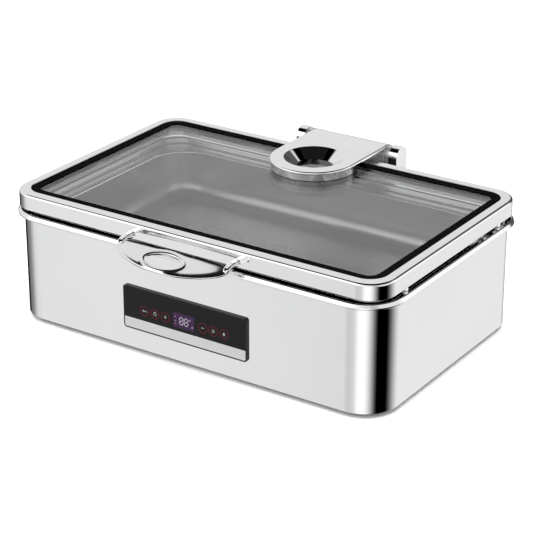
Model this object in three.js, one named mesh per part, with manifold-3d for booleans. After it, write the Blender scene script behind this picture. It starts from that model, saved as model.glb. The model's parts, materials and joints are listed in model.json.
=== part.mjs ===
// Electric buffet server for one 1/1 gastronorm pan, with a glazed lid on a damped rear hinge.
// Millimetres, +Z up, front at -Y. Origin: on the table, at the centre of the object's footprint box.
import * as THREE from 'three';
import { mergeVertices } from 'three/addons/utils/BufferGeometryUtils.js';
import Module from 'manifold-3d';

const wasm = await Module();
wasm.setup();

// ---- driving dimensions ------------------------------------------------------------------
const GAP = 0.3;             // air left between two pieces that touch on the real object
const SHEET = 1.0;           // sheet metal
const HALF_DIFF = 102.5;     // half width minus half depth, the same on every rounded rectangle
const CORNER_STEPS = 6;      // facets per rounded corner

const LID_HALF_X = 282.5;    // lid outer edge
const LID_R = 35.5;
const BODY_HALF_X = 281.6;   // outer shell
const BODY_HALF_Y = BODY_HALF_X - HALF_DIFF;
const BODY_R = 47;
const BODY_Z = 6.5;          // lower edge of the shell above the table
const RIM_Z = BODY_Z + 148.9;        // top of the water pan's rim
const BEAD_HALF_X = 286.7;           // centre line of the rolled rim bead
const BEAD_R = 3.6;

const LID_TOP = BODY_Z + 174.3;
const SKIRT_BOTTOM = BODY_Z + 153.0;
const BAND_INNER_X = 268.1;          // inner edge of the lid frame's top band
const BAND_INNER_R = 25;
const LEDGE_INNER_X = 259.7;         // ledge that carries the glass
const LEDGE_TOP = BODY_Z + 166.0;
const GASKET_TOP = LID_TOP - 0.85;
const GASKET_INNER_X = 256.0;
const GLASS_THICK = 4.0;
const GLASS_TOP = GASKET_TOP - 1.2;
const GLASS_HALF_X = 262.2;

const PAN_OPEN_X = 250;              // 1/1 gastronorm: 530 x 325 outside, 500 x 295 opening
const PAN_FLANGE_X = 265;
const PAN_TOP = BODY_Z + 141.0;
const PAN_DEPTH = 65;
const PAN_FLOOR = PAN_TOP - PAN_DEPTH;
const WATER_WALL_X = 257;
const WATER_FLOOR = BODY_Z + 46;

const HINGE_Y = 216;                 // barrel axis
const HINGE_Z = BODY_Z + 172;
const BARREL_R = 13.6;
const EAR_R = 14.5;
const EAR_IN = 68;
const EAR_OUT = 81;
const PIN_R = 4;
const DAMPER_R = 9;                  // damper cartridges inside the knuckle's two ends
const DAMPER_LONG = 30;
const TONGUE_HALF = 60;
const RING_Y = 120;                  // centre of the tongue's round front
const TONGUE_TOP = HINGE_Z + BARREL_R;
const TONGUE_THICK = 4;
const CONE_TOP_R = 41;
const CONE_LOW_R = 26;

const PANEL_W = 190.4;
const PANEL_LOW = BODY_Z + 28.1;
const PANEL_HIGH = BODY_Z + 87.7;
const STRIP_HIGH = BODY_Z + 44.1;
const PANEL_PROUD = 2.8;

const HANDLE_A = 85;                 // half length of the handle's crescent plate
const HANDLE_B = 41;                 // its depth, front to back
const HANDLE_Y = -198;               // its straight inner edge
const HANDLE_Z = BODY_Z + 160.5;     // top face at that edge
const HANDLE_TILT = 13.5;            // degrees, front edge down
const HANDLE_THICK = 3.5;
const HANDLE_EYE = [27.5, 13];       // half axes of the oval hole
const HANDLE_EYE_IN = 23;            // its centre, from the inner edge
const STRAP_X = 80;
const STRAP_HALF = 5;

const REAR_REACH = HINGE_Y + EAR_R;
const FRONT_REACH = HANDLE_B * Math.cos(THREE.MathUtils.degToRad(HANDLE_TILT)) - HANDLE_Y;
const SHIFT_Y = (FRONT_REACH - REAR_REACH) / 2;   // puts the footprint box's centre on the origin

// ---- materials ---------------------------------------------------------------------------
const finish = (color, roughness, metalness, extra = {}) =>
  new THREE.MeshStandardMaterial({ color, roughness, metalness, ...extra });
const MIRROR_STEEL = finish(0xd9dbdd, 0.05, 1);
const CHROME = finish(0xe2e4e6, 0.04, 1);
const SATIN_STEEL = finish(0x9a9c9e, 0.35, 1);
const PLAIN_STEEL = finish(0xa7a9ab, 0.3, 1);
const GALVANISED = finish(0x9fa3a6, 0.5, 0.9);
const ALUMINIUM = finish(0xb9bbbd, 0.4, 1);
const BLACK_RUBBER = finish(0x0b0b0c, 0.6, 0);
const CLEAR_SILICONE = finish(0xb8babb, 0.5, 0);
const CLEAR_GLASS = finish(0xcfd4d4, 0.02, 0, { transparent: true, opacity: 0.3 });
const BLACK_GLASS = finish(0x141416, 0.05, 0);
const BRUSHED_STRIP = finish(0xcfcfcf, 0.35, 0.8);
const BLACK_PLASTIC = finish(0x18181a, 0.5, 0);
const BOARD_GREEN = finish(0x1f5a36, 0.5, 0);
const BLUE_PLASTIC = finish(0x23406b, 0.5, 0);
const CERAMIC_WHITE = finish(0xdedad0, 0.6, 0);
const BRASS = finish(0xb58a3d, 0.3, 1);
const RED_SLEEVE = finish(0x8a3a30, 0.6, 0);

// ---- geometry helpers --------------------------------------------------------------------
// Corner points of a rounded rectangle, anticlockwise.
function roundedOutline(halfX, halfY, r, steps = CORNER_STEPS) {
  const points = [];
  [[1, 1, 0], [-1, 1, 90], [-1, -1, 180], [1, -1, 270]].forEach(([sx, sy, start]) => {
    for (let i = 0; i <= steps; i += 1) {
      const a = THREE.MathUtils.degToRad(start + (90 * i) / steps);
      points.push([sx * (halfX - r) + r * Math.cos(a), sy * (halfY - r) + r * Math.sin(a)]);
    }
  });
  return points;
}

// Volume inside an indexed triangle mesh: negative when its faces point in.
function signedVolume(positions, index) {
  let total = 0;
  const at = (i) => new THREE.Vector3(positions[3 * i], positions[3 * i + 1], positions[3 * i + 2]);
  for (let t = 0; t < index.length; t += 3) {
    total += at(index[t]).dot(at(index[t + 1]).cross(at(index[t + 2]))) / 6;
  }
  return total;
}

function meshGeometry(positions, index) {
  if (signedVolume(positions, index) < 0) {
    for (let t = 0; t < index.length; t += 3) {
      [index[t + 1], index[t + 2]] = [index[t + 2], index[t + 1]];
    }
  }
  const geometry = new THREE.BufferGeometry();
  geometry.setAttribute('position', new THREE.Float32BufferAttribute(positions, 3));
  geometry.setIndex(index);
  return geometry;
}

// A wall through a list of rounded rectangles [halfX, radius, z]. A looped wall closes on itself,
// as a frame does; any other ends in a flat floor at its first and last rectangle.
function ringSolid(rings, looped) {
  const count = 4 * (CORNER_STEPS + 1);
  const positions = [];
  const index = [];
  rings.forEach(([halfX, r, z]) => {
    roundedOutline(halfX, halfX - HALF_DIFF, r).forEach(([x, y]) => positions.push(x, y, z));
  });
  const pairs = looped ? rings.length : rings.length - 1;
  for (let k = 0; k < pairs; k += 1) {
    const next = (k + 1) % rings.length;
    for (let i = 0; i < count; i += 1) {
      const j = (i + 1) % count;
      const [a, b, c, d] = [k * count + i, k * count + j, next * count + i, next * count + j];
      index.push(a, b, d, a, d, c);
    }
  }
  if (!looped) {
    [0, rings.length - 1].forEach((k) => {
      const centre = positions.length / 3;
      positions.push(0, 0, rings[k][2]);
      for (let i = 0; i < count; i += 1) {
        const pair = [k * count + i, k * count + ((i + 1) % count)];
        index.push(...(k === 0 ? [pair[1], pair[0]] : pair), centre);
      }
    });
  }
  return meshGeometry(positions, index);
}

// The same surface with shared vertices merged and every face pointing out.
function closed(geometry) {
  const bare = new THREE.BufferGeometry();
  bare.setAttribute('position', geometry.getAttribute('position').clone());
  if (geometry.index) bare.setIndex(geometry.index.clone());
  const merged = mergeVertices(bare, 1e-4);
  return meshGeometry([...merged.getAttribute('position').array], [...merged.index.array]);
}

function toSolid(geometry) {
  const merged = closed(geometry);
  return new wasm.Manifold(new wasm.Mesh({
    numProp: 3,
    vertProperties: new Float32Array(merged.getAttribute('position').array),
    triVerts: new Uint32Array(merged.index.array),
  }));
}

function fromSolid(solid) {
  const mesh = solid.getMesh();
  const geometry = new THREE.BufferGeometry();
  geometry.setAttribute('position', new THREE.BufferAttribute(mesh.vertProperties, 3));
  geometry.setIndex(new THREE.BufferAttribute(mesh.triVerts, 1));
  return geometry;
}

function join(...parts) {
  return fromSolid(parts.map(toSolid).reduce((a, b) => a.add(b)));
}

function cut(body, ...tools) {
  return fromSolid(tools.map(toSolid).reduce((a, b) => a.subtract(b), toSolid(body)));
}

// Box between two opposite corners.
function block(low, high) {
  const size = high.map((v, i) => v - low[i]);
  const geometry = new THREE.BoxGeometry(...size);
  return geometry.translate(...low.map((v, i) => v + size[i] / 2));
}

// Round bar of radius r from one point to another along one axis.
function bar(r, from, to, sides = 16) {
  const start = new THREE.Vector3(...from);
  const span = new THREE.Vector3(...to).sub(start);
  const geometry = new THREE.CylinderGeometry(r, r, span.length(), sides);
  const turn = new THREE.Quaternion().setFromUnitVectors(
    new THREE.Vector3(0, 1, 0), span.clone().normalize());
  return geometry.applyQuaternion(turn).translate(...start.addScaledVector(span, 0.5).toArray());
}

// Turned solid about Z at (x, y), from a profile [radius, z] that starts and ends on the axis.
function turned(profile, x, y, sides = 24) {
  const lathe = new THREE.LatheGeometry(profile.map(([r, z]) => new THREE.Vector2(r, z)), sides);
  return closed(lathe.rotateX(Math.PI / 2).translate(x, y, 0));
}

// Flat outline in the YZ plane, extruded along X from x0 to x1.
function slabX(outline, x0, x1) {
  const shape = new THREE.Shape(outline.map(([y, z]) => new THREE.Vector2(y, z)));
  const geometry = new THREE.ExtrudeGeometry(shape, { depth: x1 - x0, bevelEnabled: false });
  return geometry.applyMatrix4(new THREE.Matrix4().set(
    0, 0, 1, x0,
    1, 0, 0, 0,
    0, 1, 0, 0,
    0, 0, 0, 1));
}

// Round bar along Y through (x, z), and one along X on the hinge axis.
const barY = (r, x, z, y0, y1, sides) => bar(r, [x, y0, z], [x, y1, z], sides);
const barHinge = (r, x0, x1, sides) => bar(r, [x0, HINGE_Y, HINGE_Z], [x1, HINGE_Y, HINGE_Z], sides);

// Rounded plate standing in the XZ plane, from y0 to y1.
function plateY(halfX, z0, z1, r, y0, y1, steps = 3) {
  const outline = roundedOutline(halfX, (z1 - z0) / 2, r, steps);
  const shape = new THREE.Shape(outline.map(([x, z]) => new THREE.Vector2(x, z)));
  const geometry = new THREE.ExtrudeGeometry(shape, { depth: y1 - y0, bevelEnabled: false });
  return geometry.rotateX(Math.PI / 2).translate(0, y1, (z0 + z1) / 2);
}

const model = new THREE.Group();
model.position.y = SHIFT_Y;
function add(name, geometry, material) {
  const mesh = new THREE.Mesh(geometry, material);
  mesh.name = name;
  model.add(mesh);
}

// Four places: left or right, front or rear.
const CORNERS = [
  ['front_left', -1, -1],
  ['front_right', 1, -1],
  ['rear_left', -1, 1],
  ['rear_right', 1, 1],
];
const SIDES = [['left', -1], ['right', 1]];

// ---- outer shell, base cover and feet ----------------------------------------------------
const bodyRing = (halfX, z) => [halfX, BODY_R - (BODY_HALF_X - halfX), z];
const TOP_FLANGE = 9;        // turned-in edges of the shell
const LOW_FLANGE = 38;
const SHELL_TOP = RIM_Z - SHEET - GAP;
const WINDOW_HALF = 80;      // opening behind the control panel
const WINDOW_LOW = PANEL_LOW + 12;
const WINDOW_HIGH = PANEL_HIGH - 8;
const INLET_X = 170;
const INLET_Z = 29;
const INLET_HOLE = [13.8, 10.2];
const BOLT_X = 50;           // hinge bracket bolts
const BOLT_Z = [92, 126];
const BOLT_R = 2.5;

const COVER_IN = 5;          // base cover, inside the shell's outline
const COVER_TOP = BODY_Z - GAP;
const COVER_LOW = COVER_TOP - SHEET;
const VENT_HALF = [2.5, 18];
const VENT_PITCH = 32;
const VENT_COUNT = 7;
const VENT_ROW_Y = 70;

const FOOT_INSET = 34;
const FOOT_TOP = COVER_LOW - GAP;
const FOOT_R = 11;
const FOOT_RECESS_R = 5.5;
const FOOT_RECESS_TOP = 2.8;
const FOOT_SCREW_R = 2;
const FOOT_SCREW_TOP = BODY_Z + 6;

const feet = CORNERS.map(([place, sx, sy]) => (
  { place, x: sx * (BODY_HALF_X - FOOT_INSET), y: sy * (BODY_HALF_Y - FOOT_INSET) }));
const bolts = SIDES.flatMap(([side, sx]) => BOLT_Z.map((z, i) => (
  { place: `${i ? 'upper' : 'lower'}_${side}`, x: sx * BOLT_X, z })));
const footHoles = (z0, z1) => feet.map(({ x, y }) => (
  bar(FOOT_SCREW_R + GAP, [x, y, z0], [x, y, z1], 10)));
const boltHoles = (y0, y1) => bolts.map(({ x, z }) => barY(BOLT_R + GAP, x, z, y0, y1, 10));

function outerShell() {
  const wall = ringSolid([
    bodyRing(BODY_HALF_X, BODY_Z),
    bodyRing(BODY_HALF_X, SHELL_TOP),
    bodyRing(BODY_HALF_X - TOP_FLANGE, SHELL_TOP),
    bodyRing(BODY_HALF_X - TOP_FLANGE, SHELL_TOP - SHEET),
    bodyRing(BODY_HALF_X - SHEET, SHELL_TOP - SHEET),
    bodyRing(BODY_HALF_X - SHEET, BODY_Z + SHEET),
    bodyRing(BODY_HALF_X - LOW_FLANGE, BODY_Z + SHEET),
    bodyRing(BODY_HALF_X - LOW_FLANGE, BODY_Z),
  ], true);
  const inside = BODY_HALF_Y - 3;
  const outside = BODY_HALF_Y + 3;
  return cut(
    wall,
    block([-WINDOW_HALF, -outside, WINDOW_LOW], [WINDOW_HALF, -inside, WINDOW_HIGH]),
    block([INLET_X - INLET_HOLE[0], inside, INLET_Z - INLET_HOLE[1]],
      [INLET_X + INLET_HOLE[0], outside, INLET_Z + INLET_HOLE[1]]),
    ...boltHoles(inside, outside),
    ...footHoles(BODY_Z - 1, BODY_Z + 3),
  );
}

function baseCover() {
  const halfX = BODY_HALF_X - COVER_IN;
  const r = BODY_R - COVER_IN;
  const plate = ringSolid([[halfX, r, COVER_LOW], [halfX, r, COVER_TOP]], false);
  const vents = [];
  [-VENT_ROW_Y, VENT_ROW_Y].forEach((y) => {
    for (let i = 0; i < VENT_COUNT; i += 1) {
      const x = VENT_PITCH * (i - (VENT_COUNT - 1) / 2);
      vents.push(block([x - VENT_HALF[0], y - VENT_HALF[1], COVER_LOW - 1],
        [x + VENT_HALF[0], y + VENT_HALF[1], COVER_TOP + 1]));
    }
  });
  return cut(plate, ...vents, ...footHoles(COVER_LOW - 1, COVER_TOP + 1));
}

function addFeet() {
  const holes = footHoles(1, FOOT_TOP + 1);
  feet.forEach(({ place, x, y }, i) => {
    const foot = turned([
      [0, FOOT_RECESS_TOP], [FOOT_RECESS_R, FOOT_RECESS_TOP], [FOOT_RECESS_R, 0],
      [FOOT_R - 0.8, 0], [FOOT_R, FOOT_TOP], [0, FOOT_TOP],
    ], x, y, 20);
    add(`foot_${place}`, cut(foot, holes[i]), BLACK_RUBBER);
    add(`foot_screw_${place}`, turned([
      [0, 1], [3.2, 1], [4.2, 1.7], [4.2, FOOT_RECESS_TOP - GAP],
      [FOOT_SCREW_R, FOOT_RECESS_TOP - GAP], [FOOT_SCREW_R, FOOT_SCREW_TOP], [0, FOOT_SCREW_TOP],
    ], x, y, 10), PLAIN_STEEL);
  });
}

// ---- pans --------------------------------------------------------------------------------
const LEDGE_Z = PAN_TOP - 3.8;       // ledge that the food pan's turned-down edge rests on
const RECESS_X = 268;                // recess above that ledge
const WATER_R = 33;                  // plan corner radius of the water pan's wall

// Single sheet: outside from the floor's middle up to the rolled rim, then inside back down.
function waterPan() {
  const rim = (halfX, z) => bodyRing(halfX, z);
  const wall = (halfX, z) => [halfX, WATER_R - (WATER_WALL_X - halfX) / 2, z];
  const bead = [180, 225, 270, 315, 0, 45, 90].map((deg) => {
    const a = THREE.MathUtils.degToRad(deg);
    return rim(BEAD_HALF_X + BEAD_R * Math.cos(a), RIM_Z - BEAD_R + BEAD_R * Math.sin(a));
  });
  return ringSolid([
    wall(WATER_WALL_X - 14, WATER_FLOOR - SHEET),
    wall(WATER_WALL_X - 3, WATER_FLOOR + 2.5),
    wall(WATER_WALL_X + SHEET, WATER_FLOOR + 14),
    wall(WATER_WALL_X + SHEET, LEDGE_Z - SHEET),
    rim(RECESS_X + SHEET, LEDGE_Z - SHEET),
    rim(RECESS_X + SHEET, RIM_Z - SHEET),
    rim(BEAD_HALF_X - BEAD_R, RIM_Z - SHEET),
    ...bead,
    rim(RECESS_X, RIM_Z),
    rim(RECESS_X, LEDGE_Z),
    wall(WATER_WALL_X, LEDGE_Z),
    wall(WATER_WALL_X, WATER_FLOOR + 14),
    wall(WATER_WALL_X - 4, WATER_FLOOR + 3.5),
    wall(WATER_WALL_X - 14.4, WATER_FLOOR),
  ], false);
}

const PAN_CORNER_R = 52;
const PAN_FLANGE_R = 32;
const PAN_DRAFT = 4;
const PAN_FILLET = 25;
const PAN_EDGE = 3.5;                // height of the flange's turned-down edge

// Single sheet: outside from the floor's fillet up and round the flange, then inside back down.
function foodPan() {
  const low = PAN_OPEN_X - PAN_DRAFT;
  const flange = (inset, z) => [PAN_FLANGE_X - inset, PAN_FLANGE_R - inset, z];
  const opening = (offset, z) => [PAN_OPEN_X + offset, PAN_CORNER_R + offset, z];
  const fillet = (offset, z0) => [90, 60, 30, 0].map((deg) => {
    const a = THREE.MathUtils.degToRad(deg);
    const r = PAN_FILLET + offset;
    const halfX = low - PAN_FILLET + r * Math.cos(a);
    return [halfX, PAN_CORNER_R - 2 - (low - halfX), z0 + r * (1 - Math.sin(a))];
  });
  return ringSolid([
    ...fillet(SHEET, PAN_FLOOR - SHEET),
    opening(SHEET, PAN_TOP - 3),
    opening(2, PAN_TOP - SHEET),
    flange(SHEET, PAN_TOP - SHEET),
    flange(SHEET, PAN_TOP - PAN_EDGE),
    flange(0, PAN_TOP - PAN_EDGE),
    flange(0, PAN_TOP - 1),
    flange(1, PAN_TOP),
    opening(1.5, PAN_TOP),
    opening(0, PAN_TOP - 2),
    ...fillet(0, PAN_FLOOR).reverse(),
  ], false);
}

// ---- lid ---------------------------------------------------------------------------------
const LID_FRONT_Y = HALF_DIFF - LID_HALF_X;
const GLASS_LOW = GLASS_TOP - GLASS_THICK;
const GLASS_R = 19;
const GASKET_STEP = 2.5;     // the gasket's lower lip, back from its upper one
const HANDLE_SCREW_R = 1.5;
const HANDLE_SCREW_Z = HANDLE_Z - 3;
const CLAMP_SCREW_R = 2;
const CLAMP_CIRCLE = 50;     // the clamp screws' circle
const CLAMP_SCREW_DEG = [15, 165, 225, 315];
const CLAMP_RING_R = [27, 58];
const CLAMP_THICK = 4.5;
const BOSS_REAR_Y = GASKET_INNER_X - HALF_DIFF - 1;   // the boss steps up over gasket and frame here

const clampScrews = CLAMP_SCREW_DEG.map((deg, i) => {
  const a = THREE.MathUtils.degToRad(deg);
  return { place: i + 1, x: CLAMP_CIRCLE * Math.cos(a), y: RING_Y + CLAMP_CIRCLE * Math.sin(a) };
});
const clampHoles = (r, z0, z1) => clampScrews.map(({ x, y }) => bar(r, [x, y, z0], [x, y, z1], 12));
const handleHoles = (y0, y1) => SIDES.map(([, sx]) => (
  barY(HANDLE_SCREW_R + GAP, sx * STRAP_X, HANDLE_SCREW_Z, y0, y1, 10)));

function lidFrame() {
  const skirt = (inset, z) => [LID_HALF_X - inset, LID_R - inset, z];
  const inner = (halfX, z) => [halfX, BAND_INNER_R - (BAND_INNER_X - halfX), z];
  const frame = ringSolid([
    skirt(0, SKIRT_BOTTOM),
    skirt(0, LID_TOP - 2),
    skirt(0.6, LID_TOP - 0.6),
    skirt(2, LID_TOP),
    inner(BAND_INNER_X, LID_TOP),
    inner(BAND_INNER_X, LEDGE_TOP),
    inner(LEDGE_INNER_X, LEDGE_TOP),
    inner(LEDGE_INNER_X, LEDGE_TOP - SHEET),
    inner(BAND_INNER_X, LEDGE_TOP - SHEET),
    inner(BAND_INNER_X, SKIRT_BOTTOM),
    inner(BAND_INNER_X + SHEET, SKIRT_BOTTOM),
    inner(BAND_INNER_X + SHEET, LID_TOP - 2 * SHEET),
    skirt(SHEET, LID_TOP - 2 * SHEET),
    skirt(SHEET, SKIRT_BOTTOM),
  ], true);
  return cut(frame, ...handleHoles(LID_FRONT_Y - 2, LID_FRONT_Y + 3));
}

function lidGasket() {
  const ring = (halfX, z) => [halfX, Math.max(10, BAND_INNER_R - (BAND_INNER_X - halfX)), z];
  const outer = BAND_INNER_X - GAP;
  const seat = GLASS_HALF_X + GAP;
  return ringSolid([
    ring(outer, LEDGE_TOP + GAP),
    ring(outer, GASKET_TOP),
    ring(GASKET_INNER_X, GASKET_TOP),
    ring(GASKET_INNER_X, GLASS_TOP + GAP),
    ring(seat, GLASS_TOP + GAP),
    ring(seat, GLASS_LOW - GAP),
    ring(GASKET_INNER_X + GASKET_STEP, GLASS_LOW - GAP),
    ring(GASKET_INNER_X + GASKET_STEP, LEDGE_TOP + GAP),
  ], true);
}

function lidGlass() {
  const rings = [[GLASS_HALF_X, GLASS_R, GLASS_LOW], [GLASS_HALF_X, GLASS_R, GLASS_TOP]];
  return cut(ringSolid(rings, false), ...clampHoles(CLAMP_SCREW_R + 1, GLASS_LOW - 1, GLASS_TOP + 1));
}

// ---- hinge tongue on the lid -------------------------------------------------------------
const PAST = 10;             // how far a cutter runs past what it cuts
const TONGUE_SEAT = GLASS_TOP + GAP;
const TAP_DEPTH = 8.5;
const CLAMP_TOP = GLASS_LOW - GAP;

// Cutter for everything behind the line where the boss meets the frame.
const behindBoss = (z0, z1) => block(
  [-TONGUE_HALF - PAST, BOSS_REAR_Y, z0], [TONGUE_HALF + PAST, RING_Y + TONGUE_HALF + PAST, z1]);

// Round boss with a conical eye, standing on the glass, then a flat tongue and the hinge knuckle.
function hingeTongue() {
  const boss = bar(TONGUE_HALF, [0, RING_Y, TONGUE_SEAT], [0, RING_Y, TONGUE_TOP], 48);
  const plate = block([-TONGUE_HALF, RING_Y, TONGUE_TOP - TONGUE_THICK],
    [TONGUE_HALF, HINGE_Y, TONGUE_TOP]);
  const knuckle = barHinge(BARREL_R, -TONGUE_HALF, TONGUE_HALF, 32);
  const flare = (CONE_TOP_R - CONE_LOW_R) / (TONGUE_TOP - TONGUE_SEAT);
  const eye = turned([
    [0, TONGUE_SEAT - 1], [CONE_LOW_R - flare, TONGUE_SEAT - 1],
    [CONE_TOP_R + flare, TONGUE_TOP + 1], [0, TONGUE_TOP + 1],
  ], 0, RING_Y, 48);
  const end = TONGUE_HALF + PAST;
  return cut(
    join(cut(boss, behindBoss(TONGUE_SEAT - 1, LID_TOP + GAP)), plate, knuckle),
    eye,
    barHinge(PIN_R + GAP, -end, end, 20),
    ...SIDES.map(([, sx]) => barHinge(DAMPER_R + GAP, sx * (TONGUE_HALF - DAMPER_LONG), sx * end, 20)),
    ...clampHoles(CLAMP_SCREW_R + GAP, TONGUE_SEAT - 1, TONGUE_SEAT + TAP_DEPTH),
  );
}

function addHingeInnards() {
  const pinHole = barHinge(PIN_R + GAP, -EAR_OUT, EAR_OUT, 20);
  SIDES.forEach(([side, sx]) => {
    const sleeve = barHinge(DAMPER_R, sx * (TONGUE_HALF - DAMPER_LONG + GAP), sx * TONGUE_HALF, 20);
    const spacer = barHinge(BARREL_R - 0.4, sx * (TONGUE_HALF + GAP), sx * (EAR_IN - GAP), 32);
    add(`hinge_damper_${side}`, cut(sleeve, pinHole), BLACK_PLASTIC);
    add(`hinge_spacer_${side}`, cut(spacer, pinHole), CHROME);
  });
  add('hinge_pin', barHinge(PIN_R, -PIN_HALF, PIN_HALF, 20), PLAIN_STEEL);
}

// Ring under the glass that the clamp screws pull up against it.
function glassClampRing() {
  const low = CLAMP_TOP - CLAMP_THICK;
  const disc = bar(CLAMP_RING_R[1], [0, RING_Y, low], [0, RING_Y, CLAMP_TOP], 40);
  const hole = bar(CLAMP_RING_R[0], [0, RING_Y, low - 1], [0, RING_Y, CLAMP_TOP + 1], 40);
  return cut(disc, hole, behindBoss(low - 1, CLAMP_TOP + 1),
    ...clampHoles(CLAMP_SCREW_R + GAP, low - 1, CLAMP_TOP + 1));
}

function addClampScrews() {
  const seat = CLAMP_TOP - CLAMP_THICK - GAP;
  const tip = TONGUE_SEAT + TAP_DEPTH - 1;
  clampScrews.forEach(({ place, x, y }) => {
    add(`clamp_screw_${place}`, turned([
      [0, seat - 2.4], [3, seat - 2.4], [4, seat - 1.6], [4, seat],
      [CLAMP_SCREW_R, seat], [CLAMP_SCREW_R, tip], [0, tip],
    ], x, y, 12), PLAIN_STEEL);
  });
}

// ---- lid handle: a tilted crescent dish on two straps ------------------------------------
const STRAP_TOP = HANDLE_Z + 2.5;
const STRAP_LOW = HANDLE_Z - 5.5;

function lidHandle() {
  const outline = new THREE.Shape();
  outline.moveTo(-HANDLE_A, 0);
  outline.absellipse(0, 0, HANDLE_A, HANDLE_B, Math.PI, 2 * Math.PI, false, 0);
  outline.closePath();
  const eye = new THREE.Path();
  eye.absellipse(0, -HANDLE_EYE_IN, ...HANDLE_EYE, 0, 2 * Math.PI, true, 0);
  outline.holes.push(eye);
  const dish = { depth: HANDLE_THICK, bevelEnabled: false, curveSegments: 24 };
  const plate = new THREE.ExtrudeGeometry(outline, dish)
    .translate(0, 0, -HANDLE_THICK)
    .rotateX(THREE.MathUtils.degToRad(HANDLE_TILT))
    .translate(0, HANDLE_Y, HANDLE_Z);
  const seatY = LID_FRONT_Y - GAP;
  const straps = SIDES.map(([, sx]) => block(
    [sx * STRAP_X - STRAP_HALF, HANDLE_Y - 4, STRAP_LOW],
    [sx * STRAP_X + STRAP_HALF, seatY, STRAP_TOP]));
  return cut(join(plate, ...straps), ...handleHoles(seatY - 9, seatY + 1));
}

function addHandleScrews() {
  const seatY = LID_FRONT_Y + SHEET + GAP;
  SIDES.forEach(([side, sx]) => {
    const x = sx * STRAP_X;
    add(`handle_screw_${side}`, join(
      barY(HANDLE_SCREW_R, x, HANDLE_SCREW_Z, seatY - 8, seatY + 1, 10),
      barY(2 * HANDLE_SCREW_R, x, HANDLE_SCREW_Z, seatY, seatY + 2, 10)), PLAIN_STEEL);
  });
}

// ---- hinge bracket on the rear wall ------------------------------------------------------
const WALL_OUT = BODY_HALF_Y + GAP;
const WALL_IN = BODY_HALF_Y - SHEET - GAP;
const BRACKET_THICK = 4;
const BRACKET_LOW = 76;
const BRACKET_HIGH = RIM_Z - 2 * BEAD_R - 6;
const PIN_HALF = EAR_OUT - 3;
const ARCH_STEPS = 10;

function hingeBracket() {
  const arch = [];
  for (let i = 0; i <= ARCH_STEPS; i += 1) {
    const a = (Math.PI * i) / ARCH_STEPS;
    arch.push([HINGE_Y + EAR_R * Math.cos(a), HINGE_Z + EAR_R * Math.sin(a)]);
  }
  const cheek = [
    ...arch,
    [HINGE_Y - EAR_R, HINGE_Z - 16],
    [WALL_OUT + 10, BRACKET_HIGH],
    [WALL_OUT + 1, BRACKET_HIGH],
    [WALL_OUT + 1, BRACKET_LOW],
    [WALL_OUT + 8, BRACKET_LOW],
    [HINGE_Y + EAR_R, HINGE_Z - 30],
  ];
  const plate = plateY(EAR_OUT, BRACKET_LOW, BRACKET_HIGH, 4, WALL_OUT, WALL_OUT + BRACKET_THICK);
  const pinHole = PIN_HALF + 0.5;
  return cut(
    join(plate, slabX(cheek, -EAR_OUT, -EAR_IN), slabX(cheek, EAR_IN, EAR_OUT)),
    barHinge(PIN_R + GAP, -pinHole, pinHole, 20),
    ...boltHoles(WALL_OUT - 2, WALL_OUT + BRACKET_THICK + 4),
  );
}

function addBracketFixings() {
  const backing = plateY(EAR_OUT - 8, BRACKET_LOW + 4, BRACKET_HIGH - 4, 3, WALL_IN - 3, WALL_IN);
  add('hinge_backing_plate', cut(backing, ...boltHoles(WALL_IN - 5, WALL_IN + 1)), GALVANISED);
  const headY = WALL_OUT + BRACKET_THICK + GAP;
  bolts.forEach(({ place, x, z }) => {
    add(`hinge_bolt_${place}`, join(
      barY(BOLT_R, x, z, WALL_IN - 6, headY + 1, 10),
      barY(4.6, x, z, headY, headY + 3.2, 12)), PLAIN_STEEL);
  });
}

// ---- control panel -----------------------------------------------------------------------
const FACE_Y = -BODY_HALF_Y - GAP;
const BEZEL_FRONT = FACE_Y - PANEL_PROUD + 1.6;
const SHEET_FRONT = FACE_Y - PANEL_PROUD;
const SHEET_BACK = BEZEL_FRONT - GAP;
const PANEL_R = 4;
const DISPLAY_X = [-16.2, 16.2];
const DISPLAY_Z = [PANEL_LOW + 20.7, PANEL_LOW + 41.1];
const DISPLAY_SPARE = 1.5;   // bezel's window is larger by this all round
const SPLIT_GAP = 0.15;      // half of the gap between glass and strip

const HOUSING_WALL = 2;
const HOUSING_DEEP = 16;
const BOARD_THICK = 1.6;
const CONTROL_BOARD_Y = 6;   // the board's front, behind the wall
const CONTROL_BOARD_HALF = 74;
const POST_HALF = 3;

function addControlPanel() {
  const half = PANEL_W / 2;
  const bezel = plateY(half, PANEL_LOW, PANEL_HIGH, PANEL_R, BEZEL_FRONT, FACE_Y);
  const window = block(
    [DISPLAY_X[0] - DISPLAY_SPARE, BEZEL_FRONT - 1, DISPLAY_Z[0] - DISPLAY_SPARE],
    [DISPLAY_X[1] + DISPLAY_SPARE, FACE_Y + 1, DISPLAY_Z[1] + DISPLAY_SPARE]);
  add('panel_bezel', cut(bezel, window), BLACK_PLASTIC);
  const face = plateY(half, PANEL_LOW, PANEL_HIGH, PANEL_R, SHEET_FRONT, SHEET_BACK);
  const between = (z0, z1) => block([-half - 1, SHEET_FRONT - 1, z0], [half + 1, SHEET_BACK + 1, z1]);
  add('panel_glass', cut(face, between(PANEL_LOW - 1, STRIP_HIGH + SPLIT_GAP)), BLACK_GLASS);
  add('panel_strip', cut(face, between(STRIP_HIGH - SPLIT_GAP, PANEL_HIGH + 1)), BRUSHED_STRIP);
}

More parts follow.
